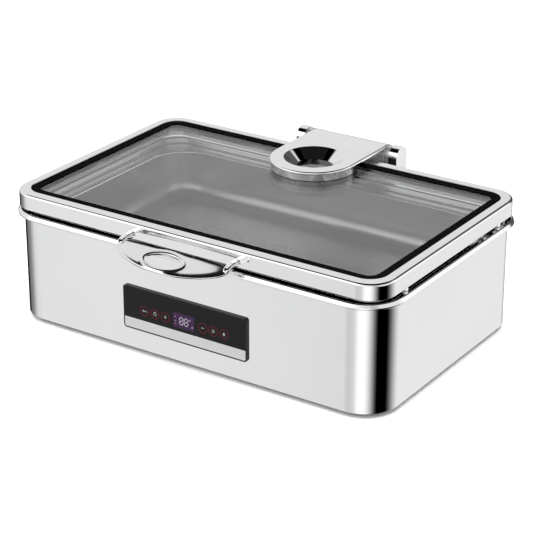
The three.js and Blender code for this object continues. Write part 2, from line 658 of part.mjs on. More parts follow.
// Open-fronted housing screwed behind the wall, the board on its posts and the display on the board.
function addControlHousing() {
  const wallIn = -WALL_IN;
  const box = (spare, y0, y1) => block(
    [-WINDOW_HALF - spare, y0, WINDOW_LOW - spare + 1],
    [WINDOW_HALF + spare, y1, WINDOW_HIGH + spare - 1]);
  const tray = cut(box(6, wallIn, wallIn + HOUSING_DEEP),
    box(6 - HOUSING_WALL, wallIn - 1, wallIn + HOUSING_DEEP - HOUSING_WALL));
  const boardBack = wallIn + CONTROL_BOARD_Y + BOARD_THICK;
  const middle = (WINDOW_LOW + WINDOW_HIGH) / 2;
  const posts = SIDES.map(([, sx]) => {
    const x = sx * (CONTROL_BOARD_HALF - 2 * POST_HALF);
    return block([x - POST_HALF, boardBack + GAP, middle - POST_HALF],
      [x + POST_HALF, wallIn + HOUSING_DEEP - 1, middle + POST_HALF]);
  });
  add('control_housing', join(tray, ...posts), BLACK_PLASTIC);
  add('control_board', block([-CONTROL_BOARD_HALF, boardBack - BOARD_THICK, WINDOW_LOW],
    [CONTROL_BOARD_HALF, boardBack, WINDOW_HIGH]), BOARD_GREEN);
  add('display_module', block([DISPLAY_X[0], BEZEL_FRONT + GAP, DISPLAY_Z[0]],
    [DISPLAY_X[1], boardBack - BOARD_THICK - GAP, DISPLAY_Z[1]]), BLUE_PLASTIC);
}

// ---- heating -----------------------------------------------------------------------------
const PLATE_HALF = [180, 100];
const PLATE_TOP = WATER_FLOOR - SHEET - GAP;
const PLATE_LOW = PLATE_TOP - 4;
const TUBE_R = 3.25;
const TUBE_Z = PLATE_LOW - GAP - TUBE_R;
const BEND_R = 22;
const ELEMENT_RUN = 118;     // straight runs reach this far from the middle
const ELEMENT_END = -160;
const ELEMENT_Y = [-66, -22, 22, 66];
const CLAMP_BAR_HALF = [8, 96];
const CLAMP_BAR_X = 70;
const CLAMP_BAR_THICK = 2.5;

// Tube bent three times into a serpentine, both ends on the left.
function heatingElement() {
  const path = new THREE.CurvePath();
  const at = (x, y) => new THREE.Vector3(x, y, TUBE_Z);
  const run = (x0, x1, y) => path.add(new THREE.LineCurve3(at(x0, y), at(x1, y)));
  const bend = (y, sx) => {
    const arc = [-90, -60, -30, 0, 30, 60, 90].map((deg) => {
      const a = THREE.MathUtils.degToRad(deg);
      return at(sx * (ELEMENT_RUN + BEND_R * Math.cos(a)), y + BEND_R * Math.sin(a));
    });
    path.add(new THREE.CatmullRomCurve3(arc));
  };
  run(ELEMENT_END, ELEMENT_RUN, ELEMENT_Y[0]);
  bend(ELEMENT_Y[0] + BEND_R, 1);
  run(ELEMENT_RUN, -ELEMENT_RUN, ELEMENT_Y[1]);
  bend(ELEMENT_Y[1] + BEND_R, -1);
  run(-ELEMENT_RUN, ELEMENT_RUN, ELEMENT_Y[2]);
  bend(ELEMENT_Y[2] + BEND_R, 1);
  run(ELEMENT_RUN, ELEMENT_END, ELEMENT_Y[3]);
  return tube(path, TUBE_R, 72, 4);
}

// Round tube of radius r along a path.
function tube(path, r, steps, quarterSides) {
  const section = new THREE.Shape();
  section.absarc(0, 0, r, 0, 2 * Math.PI, false);
  const sweep = { steps, extrudePath: path, curveSegments: quarterSides, bevelEnabled: false };
  return new THREE.ExtrudeGeometry(section, sweep);
}

function addHeating() {
  const [plateX, plateY1] = PLATE_HALF;
  add('heater_plate', block([-plateX, -plateY1, PLATE_LOW], [plateX, plateY1, PLATE_TOP]), ALUMINIUM);
  add('heating_element', heatingElement(), PLAIN_STEEL);
  const barTop = TUBE_Z - TUBE_R - GAP;
  const [barX, barY1] = CLAMP_BAR_HALF;
  SIDES.forEach(([side, sx]) => {
    const slab = (y0, y1, top) => block(
      [sx * CLAMP_BAR_X - barX, y0, barTop - CLAMP_BAR_THICK], [sx * CLAMP_BAR_X + barX, y1, top]);
    add(`heater_clamp_${side}`, join(
      slab(-barY1, barY1, barTop),
      slab(-barY1, CLAMP_BAR_THICK - barY1, PLATE_LOW - GAP),
      slab(barY1 - CLAMP_BAR_THICK, barY1, PLATE_LOW - GAP)), GALVANISED);
  });
  add('thermal_cutout', turned([
    [0, PLATE_LOW - 11], [5, PLATE_LOW - 11], [8, PLATE_LOW - 8], [12, PLATE_LOW - 8],
    [12, PLATE_LOW - GAP], [0, PLATE_LOW - GAP]], 0, 0, 16), CERAMIC_WHITE);
  add('temperature_probe', turned([
    [0, PLATE_LOW - 7], [3, PLATE_LOW - 7], [3, PLATE_LOW - 3], [6, PLATE_LOW - 2],
    [6, PLATE_LOW - GAP], [0, PLATE_LOW - GAP]], 30, 44, 12), BRASS);
}

// ---- power electronics -------------------------------------------------------------------
const TRAY_LOW = COVER_TOP + GAP;
const TRAY_FLOOR = TRAY_LOW + 2;
const TRAY_HIGH = TRAY_LOW + 10;
const BOARD_X = [140, 230];
const BOARD_Y = [-20, 90];
const BOARD_LOW = TRAY_FLOOR + 3;
const PARTS_LOW = BOARD_LOW + BOARD_THICK + GAP;
const TERMINAL_HIGH = 12;
const RELAY_HIGH = 16;
const LEAD_R = 2;

function addPower() {
  const area = (spare, z0, z1) => block(
    [BOARD_X[0] - spare, BOARD_Y[0] - spare, z0], [BOARD_X[1] + spare, BOARD_Y[1] + spare, z1]);
  const posts = BOARD_X.flatMap((x, i) => BOARD_Y.map((y, j) => {
    const [px, py] = [x + (i ? -1 : 1) * 2 * POST_HALF, y + (j ? -1 : 1) * 2 * POST_HALF];
    return block([px - POST_HALF, py - POST_HALF, TRAY_FLOOR - 1],
      [px + POST_HALF, py + POST_HALF, BOARD_LOW - GAP]);
  }));
  add('power_board_tray', join(cut(area(4, TRAY_LOW, TRAY_HIGH), area(2, TRAY_FLOOR, TRAY_HIGH + 1)),
    ...posts), BLACK_PLASTIC);
  add('power_board', area(0, BOARD_LOW, BOARD_LOW + BOARD_THICK), BOARD_GREEN);
  add('power_relay', block([160, 55, PARTS_LOW], [188, 68, PARTS_LOW + RELAY_HIGH]), BLUE_PLASTIC);
  add('terminal_block', block([158, -12, PARTS_LOW], [190, -2, PARTS_LOW + TERMINAL_HIGH]),
    CERAMIC_WHITE);
  const z = PARTS_LOW + TERMINAL_HIGH + GAP;
  const route = [
    [174, -7, z], [174, -8, z + 7], [150, -112, z + 5], [-60, -116, z + 5],
    [-176, -104, z + 3], [-186, ELEMENT_Y[0], TUBE_Z], [ELEMENT_END - GAP, ELEMENT_Y[0], TUBE_Z],
  ].map((point) => new THREE.Vector3(...point));
  add('heater_lead', tube(new THREE.CatmullRomCurve3(route), LEAD_R, 40, 2), RED_SLEEVE);
}

// ---- mains inlet -------------------------------------------------------------------------
const PIN_HALF_X = 1;
const PIN_HALF_Z = 2;
const PIN_PLACES = [['live', -7, -2], ['neutral', 7, -2], ['earth', 0, 2]];

function addInlet() {
  const around = (halfX, halfZ, y0, y1) => block(
    [INLET_X - halfX, y0, INLET_Z - halfZ], [INLET_X + halfX, y1, INLET_Z + halfZ]);
  const flange = around(16, 12.5, WALL_OUT, WALL_OUT + 2.5);
  const body = around(13.4, 9.8, WALL_OUT - 24, WALL_OUT + 1);
  const socket = around(12, 8.4, WALL_OUT - 16, WALL_OUT + 4);
  const pin = ([, dx, dz], spare) => block(
    [INLET_X + dx - PIN_HALF_X - spare, WALL_OUT - 26 - spare, INLET_Z + dz - PIN_HALF_Z - spare],
    [INLET_X + dx + PIN_HALF_X + spare, WALL_OUT - 6, INLET_Z + dz + PIN_HALF_Z + spare]);
  add('mains_inlet', cut(join(flange, body), socket, ...PIN_PLACES.map((place) => pin(place, GAP))),
    BLACK_PLASTIC);
  PIN_PLACES.forEach((place) => add(`inlet_pin_${place[0]}`, pin(place, 0), BRASS));
}

// ---- silicone buttons on the water pan's rim, under the lid's skirt ----------------------
const BUMPER_X = LID_HALF_X - 3.5;
const BUMPER_Y = 118;
const BUMPER_R = 4;

function addLidBumpers() {
  const low = RIM_Z + GAP;
  const high = SKIRT_BOTTOM - GAP;
  CORNERS.forEach(([place, sx, sy]) => {
    add(`lid_bumper_${place}`, turned([
      [0, low], [BUMPER_R, low], [BUMPER_R, high - 0.8], [BUMPER_R - 1, high], [0, high],
    ], sx * BUMPER_X, sy * BUMPER_Y, 12), CLEAR_SILICONE);
  });
}

add('outer_shell', outerShell(), MIRROR_STEEL);
add('base_cover', baseCover(), GALVANISED);
addFeet();
add('water_pan', waterPan(), MIRROR_STEEL);
add('food_pan', foodPan(), SATIN_STEEL);
add('lid_frame', lidFrame(), MIRROR_STEEL);
add('lid_gasket', lidGasket(), BLACK_RUBBER);
add('lid_glass', lidGlass(), CLEAR_GLASS);
add('hinge_tongue', hingeTongue(), CHROME);
addHingeInnards();
add('glass_clamp_ring', glassClampRing(), CHROME);
addClampScrews();
add('lid_handle', lidHandle(), CHROME);
addHandleScrews();
add('hinge_bracket', hingeBracket(), CHROME);
addBracketFixings();
addControlPanel();
addControlHousing();
addHeating();
addPower();
addInlet();
addLidBumpers();

export default model;
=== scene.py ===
import json
from math import atan2, cos, exp, hypot, pi, radians, sin, sqrt, tan

import bpy
import bmesh
from mathutils import Matrix, Vector


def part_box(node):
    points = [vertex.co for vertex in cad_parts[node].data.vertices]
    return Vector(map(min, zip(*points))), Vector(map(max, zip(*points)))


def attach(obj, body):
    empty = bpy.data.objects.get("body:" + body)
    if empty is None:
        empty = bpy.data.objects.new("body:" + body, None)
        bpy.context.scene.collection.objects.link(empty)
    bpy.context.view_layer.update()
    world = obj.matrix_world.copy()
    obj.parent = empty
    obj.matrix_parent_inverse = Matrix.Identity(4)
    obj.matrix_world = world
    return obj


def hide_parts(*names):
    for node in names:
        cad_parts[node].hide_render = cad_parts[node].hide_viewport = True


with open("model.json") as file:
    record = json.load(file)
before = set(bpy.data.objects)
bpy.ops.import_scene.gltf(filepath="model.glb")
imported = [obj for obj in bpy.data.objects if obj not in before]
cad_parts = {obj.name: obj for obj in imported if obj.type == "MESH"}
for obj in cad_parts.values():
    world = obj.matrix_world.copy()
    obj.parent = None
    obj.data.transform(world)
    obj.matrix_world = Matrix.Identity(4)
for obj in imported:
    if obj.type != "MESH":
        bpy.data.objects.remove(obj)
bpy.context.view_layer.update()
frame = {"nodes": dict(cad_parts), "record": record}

# Looks of the electric buffet server. Shapes are worked out in millimetres, from the CAD nodes' boxes, in a
# plan frame whose middle is the shell's middle; make_mesh() puts them into the row frame, in metres.
MM = 0.001
SCENE = bpy.context.scene


def box_mm(node):
    """Lowest and highest corner of a CAD node, in millimetres, in the row frame."""
    low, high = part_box(node)
    return low / MM, high / MM


# ---- driving sizes, from the frame ----
SHELL_LOW, SHELL_HIGH = box_mm("outer_shell")
SHIFT_Y = (SHELL_LOW.y + SHELL_HIGH.y) / 2
BODY_X = SHELL_HIGH.x
BODY_Y = SHELL_HIGH.y - SHIFT_Y
DIFF = BODY_X - BODY_Y  # half width less half depth, the same on every rounded rectangle
BODY_R = 47.0  # plan corner radii of the shell, the lid and the lid's opening
LID_R = 35.5
BAND_R = 25.0
SHEET = 1.0  # thickness of the steel sheet


def plan_box(node):
    """The same corners with Y measured from the shell's middle."""
    low, high = box_mm(node)
    return Vector((low.x, low.y - SHIFT_Y, low.z)), Vector((high.x, high.y - SHIFT_Y, high.z))


def box_centre(node):
    low, high = plan_box(node)
    return (low + high) / 2


SIDES = (("left", -1), ("right", 1))
CORNERS = [f"{end}_{side}" for end in ("front", "rear") for side, _ in SIDES]
BOLTS = [f"hinge_bolt_{level}_{side}" for level in ("lower", "upper") for side, _ in SIDES]
CLAMP_SCREWS = [f"clamp_screw_{i}" for i in range(1, 5)]

# ---- outlines and sections ----
HOLD = 0.35  # a point this close to an arc's end keeps the flat beside it flat
EDGE_SHARE = 0.49  # the most of an edge that the arc at one of its ends takes up
X, Y, Z = 0, 1, 2
AXIS = 0.01  # radius that stands for a point on a turned solid's axis


def round_path(corners, closed, arc=6):
    """A path of (a, b) points from corners (a, b, radius), each corner turned into an arc."""
    count = len(corners)
    path = []
    for i, (a, b, radius) in enumerate(corners):
        here = Vector((a, b))
        if not closed and i in (0, count - 1):
            path.append(here)
            continue
        back = Vector(corners[i - 1][:2]) - here
        on = Vector(corners[(i + 1) % count][:2]) - here
        half = back.angle(on) / 2
        reach = min(radius / tan(half), EDGE_SHARE * back.length, EDGE_SHARE * on.length)
        back_way, on_way = back.normalized(), on.normalized()
        centre = here + (back_way + on_way).normalized() * (reach / cos(half))
        start = here + back_way * reach - centre
        sweep = pi - 2 * half
        turn = 1 if back_way.x * on_way.y - back_way.y * on_way.x < 0 else -1
        if back.length > 2 * reach + 3 * HOLD:
            path.append(here + back_way * (reach + HOLD))
        for k in range(arc + 1):
            path.append(centre + Matrix.Rotation(turn * sweep * k / arc, 2) @ start)
        if on.length > 2 * reach + 3 * HOLD:
            path.append(here + on_way * (reach + HOLD))
    return path


def rounded_rectangle(half_a, half_b, radius, steps):
    """Outline round a rounded rectangle, anticlockwise, with holding points at each arc's ends."""
    points = []
    hold = min(1.5, 0.3 * (half_a - radius), 0.3 * (half_b - radius))
    for quarter, (side_a, side_b) in enumerate(((1, 1), (-1, 1), (-1, -1), (1, -1))):
        centre = Vector((side_a * (half_a - radius), side_b * (half_b - radius)))
        first, last = quarter * pi / 2, (quarter + 1) * pi / 2
        arc = [first + (last - first) * i / steps for i in range(steps + 1)]
        arc_points = [centre + Vector((cos(turn), sin(turn))) * radius for turn in arc]
        before, after = [centre + Vector((radius * cos(turn) - step * sin(turn),
                                          radius * sin(turn) + step * cos(turn)))
                         for turn, step in ((first, -hold), (last, hold))]
        points += [before, *arc_points, after]
    return points


def circle(radius, steps):
    """Points of a circle about the origin, anticlockwise."""
    turns = [2 * pi * i / steps for i in range(steps)]
    return [(radius * cos(turn), radius * sin(turn)) for turn in turns]


def skin(rings, closed):
    """Faces between rings of equally many points. A closed section joins its last ring to its first."""
    count = len(rings[0])
    points = [p for ring in rings for p in ring]
    faces = []
    spans = len(rings) if closed else len(rings) - 1
    for k in range(spans):
        low, high = k * count, ((k + 1) % len(rings)) * count
        faces += [(low + i, low + (i + 1) % count, high + (i + 1) % count, high + i) for i in range(count)]
    if not closed:
        faces.append(tuple(range(count))[::-1])
        faces.append(tuple(range(len(points) - count, len(points))))
    return points, faces


def rounding(edge, steps):
    """Steps round a quarter circle: how far in from the side, and how far down from the top."""
    turns = [i * pi / 2 / steps for i in range(steps + 1)]
    return [(edge * (1 - cos(turn)), edge * (1 - sin(turn))) for turn in turns]


def turned_rings(path, axis, a, b, steps):
    """Rings of a section path (place along the axis, radius) turned about the axis number, through (a, b)."""
    rings = []
    for place, radius in path:
        flat = [(a + x, b + y) for x, y in circle(radius, steps)]
        rings.append([(*point[:axis], place, *point[axis:]) for point in flat])
    return rings


# ---- meshes ----
def make_mesh(name, points, faces):
    """A mesh object in the row frame, in metres, from plan points in millimetres."""
    mesh = bpy.data.meshes.new(name)
    mesh.from_pydata([(x * MM, (y + SHIFT_Y) * MM, z * MM) for x, y, z in points], [], faces)
    bm = bmesh.new()
    bm.from_mesh(mesh)
    bmesh.ops.recalc_face_normals(bm, faces=bm.faces)
    bm.to_mesh(mesh)
    bm.free()
    obj = bpy.data.objects.new(name, mesh)
    SCENE.collection.objects.link(obj)
    return obj


def solid(name, rings, closed=False):
    return make_mesh(name, *skin(rings, closed))


def finish_mesh(mesh, sharp_deg):
    """Welds the mesh, turns its faces out and smooths it, apart from edges sharper than sharp_deg."""
    bm = bmesh.new()
    bm.from_mesh(mesh)
    bmesh.ops.remove_doubles(bm, verts=bm.verts, dist=1e-6)
    bmesh.ops.dissolve_degenerate(bm, edges=bm.edges, dist=1e-7)
    bmesh.ops.recalc_face_normals(bm, faces=bm.faces)
    bm.to_mesh(mesh)
    bm.free()
    for face in mesh.polygons:
        face.use_smooth = True
    mesh.set_sharp_from_angle(angle=radians(sharp_deg))


def applied(obj):
    """The object with its modifiers made part of its mesh."""
    graph = bpy.context.evaluated_depsgraph_get()
    mesh = bpy.data.meshes.new_from_object(obj.evaluated_get(graph))
    obj.modifiers.clear()
    obj.data = mesh
    return obj


def boolean(obj, tools, operation="DIFFERENCE"):
    """Cuts the tools out of obj, or joins them to it, and removes them."""
    for tool in tools:
        step = obj.modifiers.new("boolean", "BOOLEAN")
        step.operation = operation
        step.solver = "EXACT"
        step.object = tool
    applied(obj)
    for tool in tools:
        bpy.data.objects.remove(tool)
    return obj


def bevel(obj, width, segments=3, angle=35):
    step = obj.modifiers.new("bevel", "BEVEL")
    step.width = width * MM
    step.segments = segments
    step.limit_method = "ANGLE"
    step.angle_limit = radians(angle)
    return applied(obj)


def piece(obj, slot, body, *replaced, finish=None, sharp=40):
    """Finishes a mesh as a piece of the object: smooths it, gives it the material of its slot, or the finish
    if one is named, hangs it on its body and hides the CAD nodes that it stands for."""
    finish_mesh(obj.data, sharp)
    weigh = obj.modifiers.new("weigh", "WEIGHTED_NORMAL")
    weigh.keep_sharp = True
    applied(obj)
    obj.data.materials.clear()
    obj.data.materials.append(FINISHES[finish or slot])
    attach(obj, body)
    if replaced:
        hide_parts(*replaced)
    return obj


def block(low, high, name="cutter"):
    (x0, y0, z0), (x1, y1, z1) = low, high
    ring = [(x0, y0), (x1, y0), (x1, y1), (x0, y1)]
    return solid(name, [[(x, y, z) for x, y in ring] for z in (z0, z1)])


def block_round(middle, half_x, half_z, front, back):
    """Block of these half sizes round a middle, from front to back."""
    return block((middle.x - half_x, front, middle.z - half_z), (middle.x + half_x, back, middle.z + half_z))


def drill(radius, start, end, steps=16):
    """Cylinder between two points, to cut a hole with."""
    start, end = Vector(start), Vector(end)
    turn = (end - start).to_track_quat("Z", "Y").to_matrix()
    return solid("cutter", [[tuple(base + turn @ Vector((a, b, 0))) for a, b in circle(radius, steps)]
                            for base in (start, end)])


def drills(nodes, axis, radius, start, end, steps=16):
    """Drills along Y or Z through the middles of these nodes."""
    tools = []
    for at in map(box_centre, nodes):
        ends = [(at.x, along, at.z) if axis == Y else (at.x, at.y, along) for along in (start, end)]
        tools.append(drill(radius, *ends, steps))
    return tools


def turned(name, corners, x, y, steps, closed=False):
    """Turned solid from section corners (radius, z, fillet); an open section starts and ends on the axis."""
    path = [(p.y, max(p.x, AXIS)) for p in round_path(corners, closed, arc=5)]
    return solid(name, turned_rings(path, Z, x, y, steps), closed)


def swept(name, corners, radius_at, closed=False, arc=6, steps=24):
    """Section of corners (half width, z, fillet) swept round the plan; an open one's ends are filled in."""
    rings = []
    for half, z in round_path(corners, closed, arc):
        outline = rounded_rectangle(half, half - DIFF, max(radius_at(half), 0.5), steps)
        rings.append([(p.x, p.y, z) for p in outline])
    return solid(name, rings, closed)


def plate(name, half_x, z_range, radius, y_range, edge, steps=8):
    """Rounded plate standing in the XZ plane; its front edge, at the lowest y, is rounded by edge."""
    front, back = y_range
    middle = (z_range[0] + z_range[1]) / 2
    half_z = (z_range[1] - z_range[0]) / 2
    rings = []
    stops = [(0.0, back)] + [(inset, front + down) for inset, down in rounding(edge, 5)]
    for inset, y in stops + [(edge + 0.4, front)]:
        outline = rounded_rectangle(half_x - inset, half_z - inset, max(radius - inset, 0.3), steps)
        rings.append([(p.x, y, middle + p.y) for p in outline])
    return solid(name, rings)


# ---- materials ----
FINISHES = {}  # every material by its name; most are named for their slot
NOISE_LOW, NOISE_HIGH = 0.3, 0.7  # nearly all of a noise lies between these
EVEN = (1, 1, 1)


def add_node(tree, kind, inputs, **settings):
    """A new shader node with these settings and inputs, each input a value or another node's output."""
    node = tree.nodes.new("ShaderNode" + kind)
    for key, value in settings.items():
        setattr(node, key, value)
    for key, value in inputs.items():
        if isinstance(value, bpy.types.NodeSocket):
            tree.links.new(value, node.inputs[key])
        else:
            node.inputs[key].default_value = value
    return node


class Finish:
    """A Principled material with helpers for its procedural detail, in object space."""

    def __init__(self, name, colour, metallic, roughness, **inputs):
        self.material = FINISHES[name] = bpy.data.materials.new(name)
        self.material.use_nodes = True
        self.tree = self.material.node_tree
        self.shader = self.tree.nodes["Principled BSDF"]
        inputs.update(Metallic=metallic, Roughness=roughness, Base_Color=(*colour, 1))
        for key, value in inputs.items():
            self.shader.inputs[key.replace("_", " ")].default_value = value
        self.colour = colour
        self.place = self.node("TexCoord", {}).outputs["Object"]
        self.noises = {}

    def node(self, kind, inputs, **settings):
        return add_node(self.tree, kind, inputs, **settings)

    def drive(self, output, key):
        self.tree.links.new(output, self.shader.inputs[key])

    def noise(self, scale, stretch=EVEN, detail=4.0, roughness=0.5):
        """Noise of about 1/scale metres, finer along the axes that stretch multiplies."""
        key = scale, stretch, detail, roughness
        if key not in self.noises:
            mapping = self.node("Mapping", {"Scale": stretch, "Vector": self.place})
            place = mapping.outputs["Vector"]
            inputs = {"Scale": scale, "Detail": detail, "Roughness": roughness, "Vector": place}
            self.noises[key] = self.node("TexNoise", inputs).outputs["Fac"]
        return self.noises[key]

    def vary_roughness(self, factor, low, high):
        spread = self.node("MapRange", {"From Min": NOISE_LOW, "From Max": NOISE_HIGH,
                                                  "To Min": low, "To Max": high, "Value": factor})
        self.drive(spread.outputs["Result"], "Roughness")

    def vary_colour(self, factor, shade):
        """Darkens the colour to shade times itself where the factor is low."""
        ramp = self.node("ValToRGB", {"Fac": factor})
        for stop, place, share in zip(ramp.color_ramp.elements, (NOISE_LOW, NOISE_HIGH), (shade, 1)):
            stop.position = place
            stop.color = (*[c * share for c in self.colour], 1)
        self.drive(ramp.outputs["Color"], "Base Color")

    def bump(self, factor, height, strength):
        bump = self.node("Bump", {"Distance": height * MM, "Strength": strength, "Height": factor})
        self.drive(bump.outputs["Normal"], "Normal")


def grained(name, colour, metallic, roughness, gloss, shade, relief=None, **inputs):
    """A finish with three noises: gloss (noise, low, high) for its roughness, shade (noise, share) for its
    colour and relief (noise, mm, strength) for its height. A noise is what Finish.noise() is given."""
    finish = Finish(name, colour, metallic, roughness, **inputs)
    finish.vary_roughness(finish.noise(*gloss[0]), *gloss[1:])
    finish.vary_colour(finish.noise(*shade[0]), shade[1])
    if relief:
        finish.bump(finish.noise(*relief[0]), *relief[1:])


def cast_chrome(name, low, high):
    """Chromed casting with a little orange peel; low and high are its roughness."""
    grained(name, (0.90, 0.905, 0.91), 1.0, low, ((160, EVEN, 2.0), low, high), ((25,), 0.97))


def galvanised_steel():
    finish = Finish("galvanised_steel", (0.58, 0.60, 0.62), 0.9, 0.45)
    spangle = finish.node("TexVoronoi", {"Scale": 140, "Vector": finish.place})
    finish.vary_colour(spangle.outputs["Distance"], 0.78)
    finish.vary_roughness(finish.noise(300), 0.36, 0.52)


def tempered_glass():
    """Thin clear pane: what is behind it shows unbent, under a Fresnel reflection."""
    finish = Finish("tempered_glass", EVEN, 0.0, 0.0)
    finish.tree.nodes.remove(finish.shader)
    clear = finish.node("BsdfTransparent", {"Color": (0.93, 0.935, 0.935, 1)})
    smear = finish.node("MapRange", {"To Min": 0.0, "To Max": 0.012, "Value": finish.noise(30)})
    gloss = finish.node("BsdfGlossy", {"Color": (1, 1, 1, 1), "Roughness": smear.outputs["Result"]})
    # Schlick's rule for glass, the same from both sides of a surface
    facing = finish.node("LayerWeight", {"Blend": 0.5})
    grazing = finish.node("Math", {0: facing.outputs["Facing"], 1: 5.0}, operation="POWER")
    share = finish.node("MapRange", {"To Min": 0.04, "Value": grazing.outputs["Value"]})
    mix = finish.node("MixShader", {"Fac": share.outputs["Result"], 1: clear.outputs["BSDF"],
                                              2: gloss.outputs["BSDF"]})
    finish.tree.links.new(mix.outputs["Shader"], finish.tree.nodes["Material Output"].inputs["Surface"])


def glow(name, colour, shade=0.8):
    """Lit print behind the panel's glass."""
    finish = Finish(name, tuple(0.1 * c for c in colour), 0.0, 0.4, Specular_IOR_Level=0.1,
                    Emission_Color=(*colour, 1), Emission_Strength=0.9)
    finish.vary_colour(finish.noise(500), shade)


def make_finishes():
    # buffed stainless sheet: nearly flawless, with faint polishing streaks in its gloss
    grained("mirror_steel", (0.88, 0.885, 0.89), 1.0, 0.03, ((90, (0.15, 0.15, 6.0)), 0.015, 0.05),
            ((9, EVEN, 2.0), 0.975))
    # the food pan's fine lengthwise grain
    grain, cloud = (420, (0.03, 1.0, 1.0), 6.0, 0.7), (14, (0.4, 1.0, 1.0), 3.0)
    grained("satin_steel", (0.50, 0.50, 0.505), 1.0, 0.2, (cloud, 0.26, 0.33), (grain, 0.86),
            (grain, 0.02, 0.12))
    cast_chrome("cast_chrome", 0.03, 0.07)
    cast_chrome("soft_chrome", 0.12, 0.16)
    cast_chrome("barrel_chrome", 0.42, 0.48)
    # dark steel for the chrome clamp ring under the glass: its dark colour is painted shade
    grained("painted_shade_steel", (0.10, 0.10, 0.105), 1.0, 0.3, ((300,), 0.24, 0.36), ((60,), 0.8))
    # metals with drawn lines along one axis
    for name, colour, roughness, scale, stretch, low, high, shade in (
            ("plain_steel", (0.66, 0.67, 0.68), 0.28, 900, (1, 1, 0.1), 0.2, 0.36, 0.9),
            ("heater_aluminium", (0.74, 0.75, 0.76), 0.36, 500, (0.05, 1, 1), 0.28, 0.44, 0.9),
            ("brushed_strip", (0.80, 0.80, 0.80), 0.3, 900, (0.02, 1, 1), 0.22, 0.4, 0.92)):
        lines = (scale, stretch)
        grained(name, colour, 1.0, roughness, (lines, low, high), (lines, shade), (lines, 0.01, 0.2))
    lines = (800, (1, 0.1, 1))
    grained("brass_contact", (0.72, 0.52, 0.22), 1.0, 0.25, (lines, 0.2, 0.34), (lines, 0.8))
    galvanised_steel()
    tempered_glass()
    grained("black_rubber", (0.004, 0.004, 0.004), 0.0, 0.5, ((700,), 0.32, 0.46), ((60,), 0.6),
            ((1500,), 0.02, 0.25), Specular_IOR_Level=0.0)
    grained("black_plastic", (0.008, 0.008, 0.008), 0.0, 0.3, ((600,), 0.22, 0.36), ((50,), 0.7),
            ((2500,), 0.02, 0.2), Specular_IOR_Level=0.25)
    grained("black_glass", (0.003, 0.003, 0.003), 0.0, 0.04, ((80,), 0.03, 0.06), ((40,), 0.8),
            Specular_IOR_Level=0.2)
    grained("clear_silicone", (0.82, 0.83, 0.84), 0.0, 0.3, ((500,), 0.25, 0.4), ((200,), 0.9))
    grained("circuit_board", (0.05, 0.26, 0.12), 0.0, 0.35, ((300,), 0.3, 0.45), ((120,), 0.6))
    grained("blue_plastic", (0.05, 0.12, 0.34), 0.0, 0.3, ((400,), 0.25, 0.4), ((80,), 0.8))
    grained("ceramic_white", (0.80, 0.78, 0.73), 0.0, 0.35, ((300,), 0.28, 0.45), ((150,), 0.88))
    weave = (1400, EVEN, 1.0)
    grained("red_sleeve", (0.42, 0.10, 0.07), 0.0, 0.7, (weave, 0.6, 0.8), (weave, 0.6), (weave, 0.1, 0.5))
    glow("key_red", (0.22, 0.012, 0.03))
    glow("key_white", (0.42, 0.40, 0.42))
    glow("display_violet", (0.052, 0.022, 0.066), 0.5)
    glow("digit_white", (0.50, 0.46, 0.54))


def paint_cad_nodes():
    """Gives every CAD node the finish of its own slot, so that none keeps a flat colour."""
    for sub in frame["record"]["subparts"]:
        for material_slot in frame["nodes"][sub["node"]].material_slots:
            material_slot.material = FINISHES[sub["material_slot"]]


# ---- shell, base and feet ----
FOOT_HOLE, BOLT_HOLE = 2.3, 2.8  # radii of the holes for a foot's screw and for a hinge bolt


def body_radius(half):
    return BODY_R - (BODY_X - half)


def make_shell():
    bottom, top = SHELL_LOW.z, SHELL_HIGH.z
    flange_top, flange_low = 9.0, 38.0  # how far the sheet turns in above and below
    shell = swept("shell_skin", [
        (BODY_X, bottom, 0.8), (BODY_X, top, 1.2), (BODY_X - flange_top, top, 0.2),
        (BODY_X - flange_top, top - SHEET, 0.2), (BODY_X - SHEET, top - SHEET, 0.4),
        (BODY_X - SHEET, bottom + SHEET, 1.2), (BODY_X - flange_low, bottom + SHEET, 0.2),
        (BODY_X - flange_low, bottom, 0.2)], body_radius, closed=True)
    window_low, window_high = plan_box("control_board")
    window_x = 80
    past = 3  # how far a cutter stands out of the wall on each side
    openings = [block((-window_x, -BODY_Y - past, window_low.z), (window_x, -BODY_Y + past, window_high.z)),
                block_round(box_centre("mains_inlet"), 13.8, 10.2, BODY_Y - past, BODY_Y + past)]
    boolean(shell, openings + drills(BOLTS, Y, BOLT_HOLE, BODY_Y - past, BODY_Y + past))
    piece(shell, "mirror_steel", "base", "outer_shell")


def make_base_cover():
    low, high = plan_box("base_cover")
    inner = high.x - 60
    cover = swept("base_plate", [(inner, low.z, 0), (high.x, low.z, 0.3), (high.x, high.z, 0.3),
                                 (inner, high.z, 0)], body_radius, arc=2, steps=12)
    row, pitch, half_x, half_y = 70, 32, 2.5, 15.5  # two rows of round-ended vents
    cutters = []
    for y in (-row, row):
        for place in range(-3, 4):
            x = pitch * place
            for end in (y - half_y, y + half_y):
                cutters.append(drill(half_x, (x, end, low.z - 1), (x, end, high.z + 1)))
            cutters.append(block((x - half_x, y - half_y, low.z - 2), (x + half_x, y + half_y, high.z + 2)))
    cutters += drills([f"foot_{place}" for place in CORNERS], Z, FOOT_HOLE, low.z - 1, high.z + 1)
    boolean(cover, cutters)
    piece(cover, "galvanised_steel", "base", "base_cover")


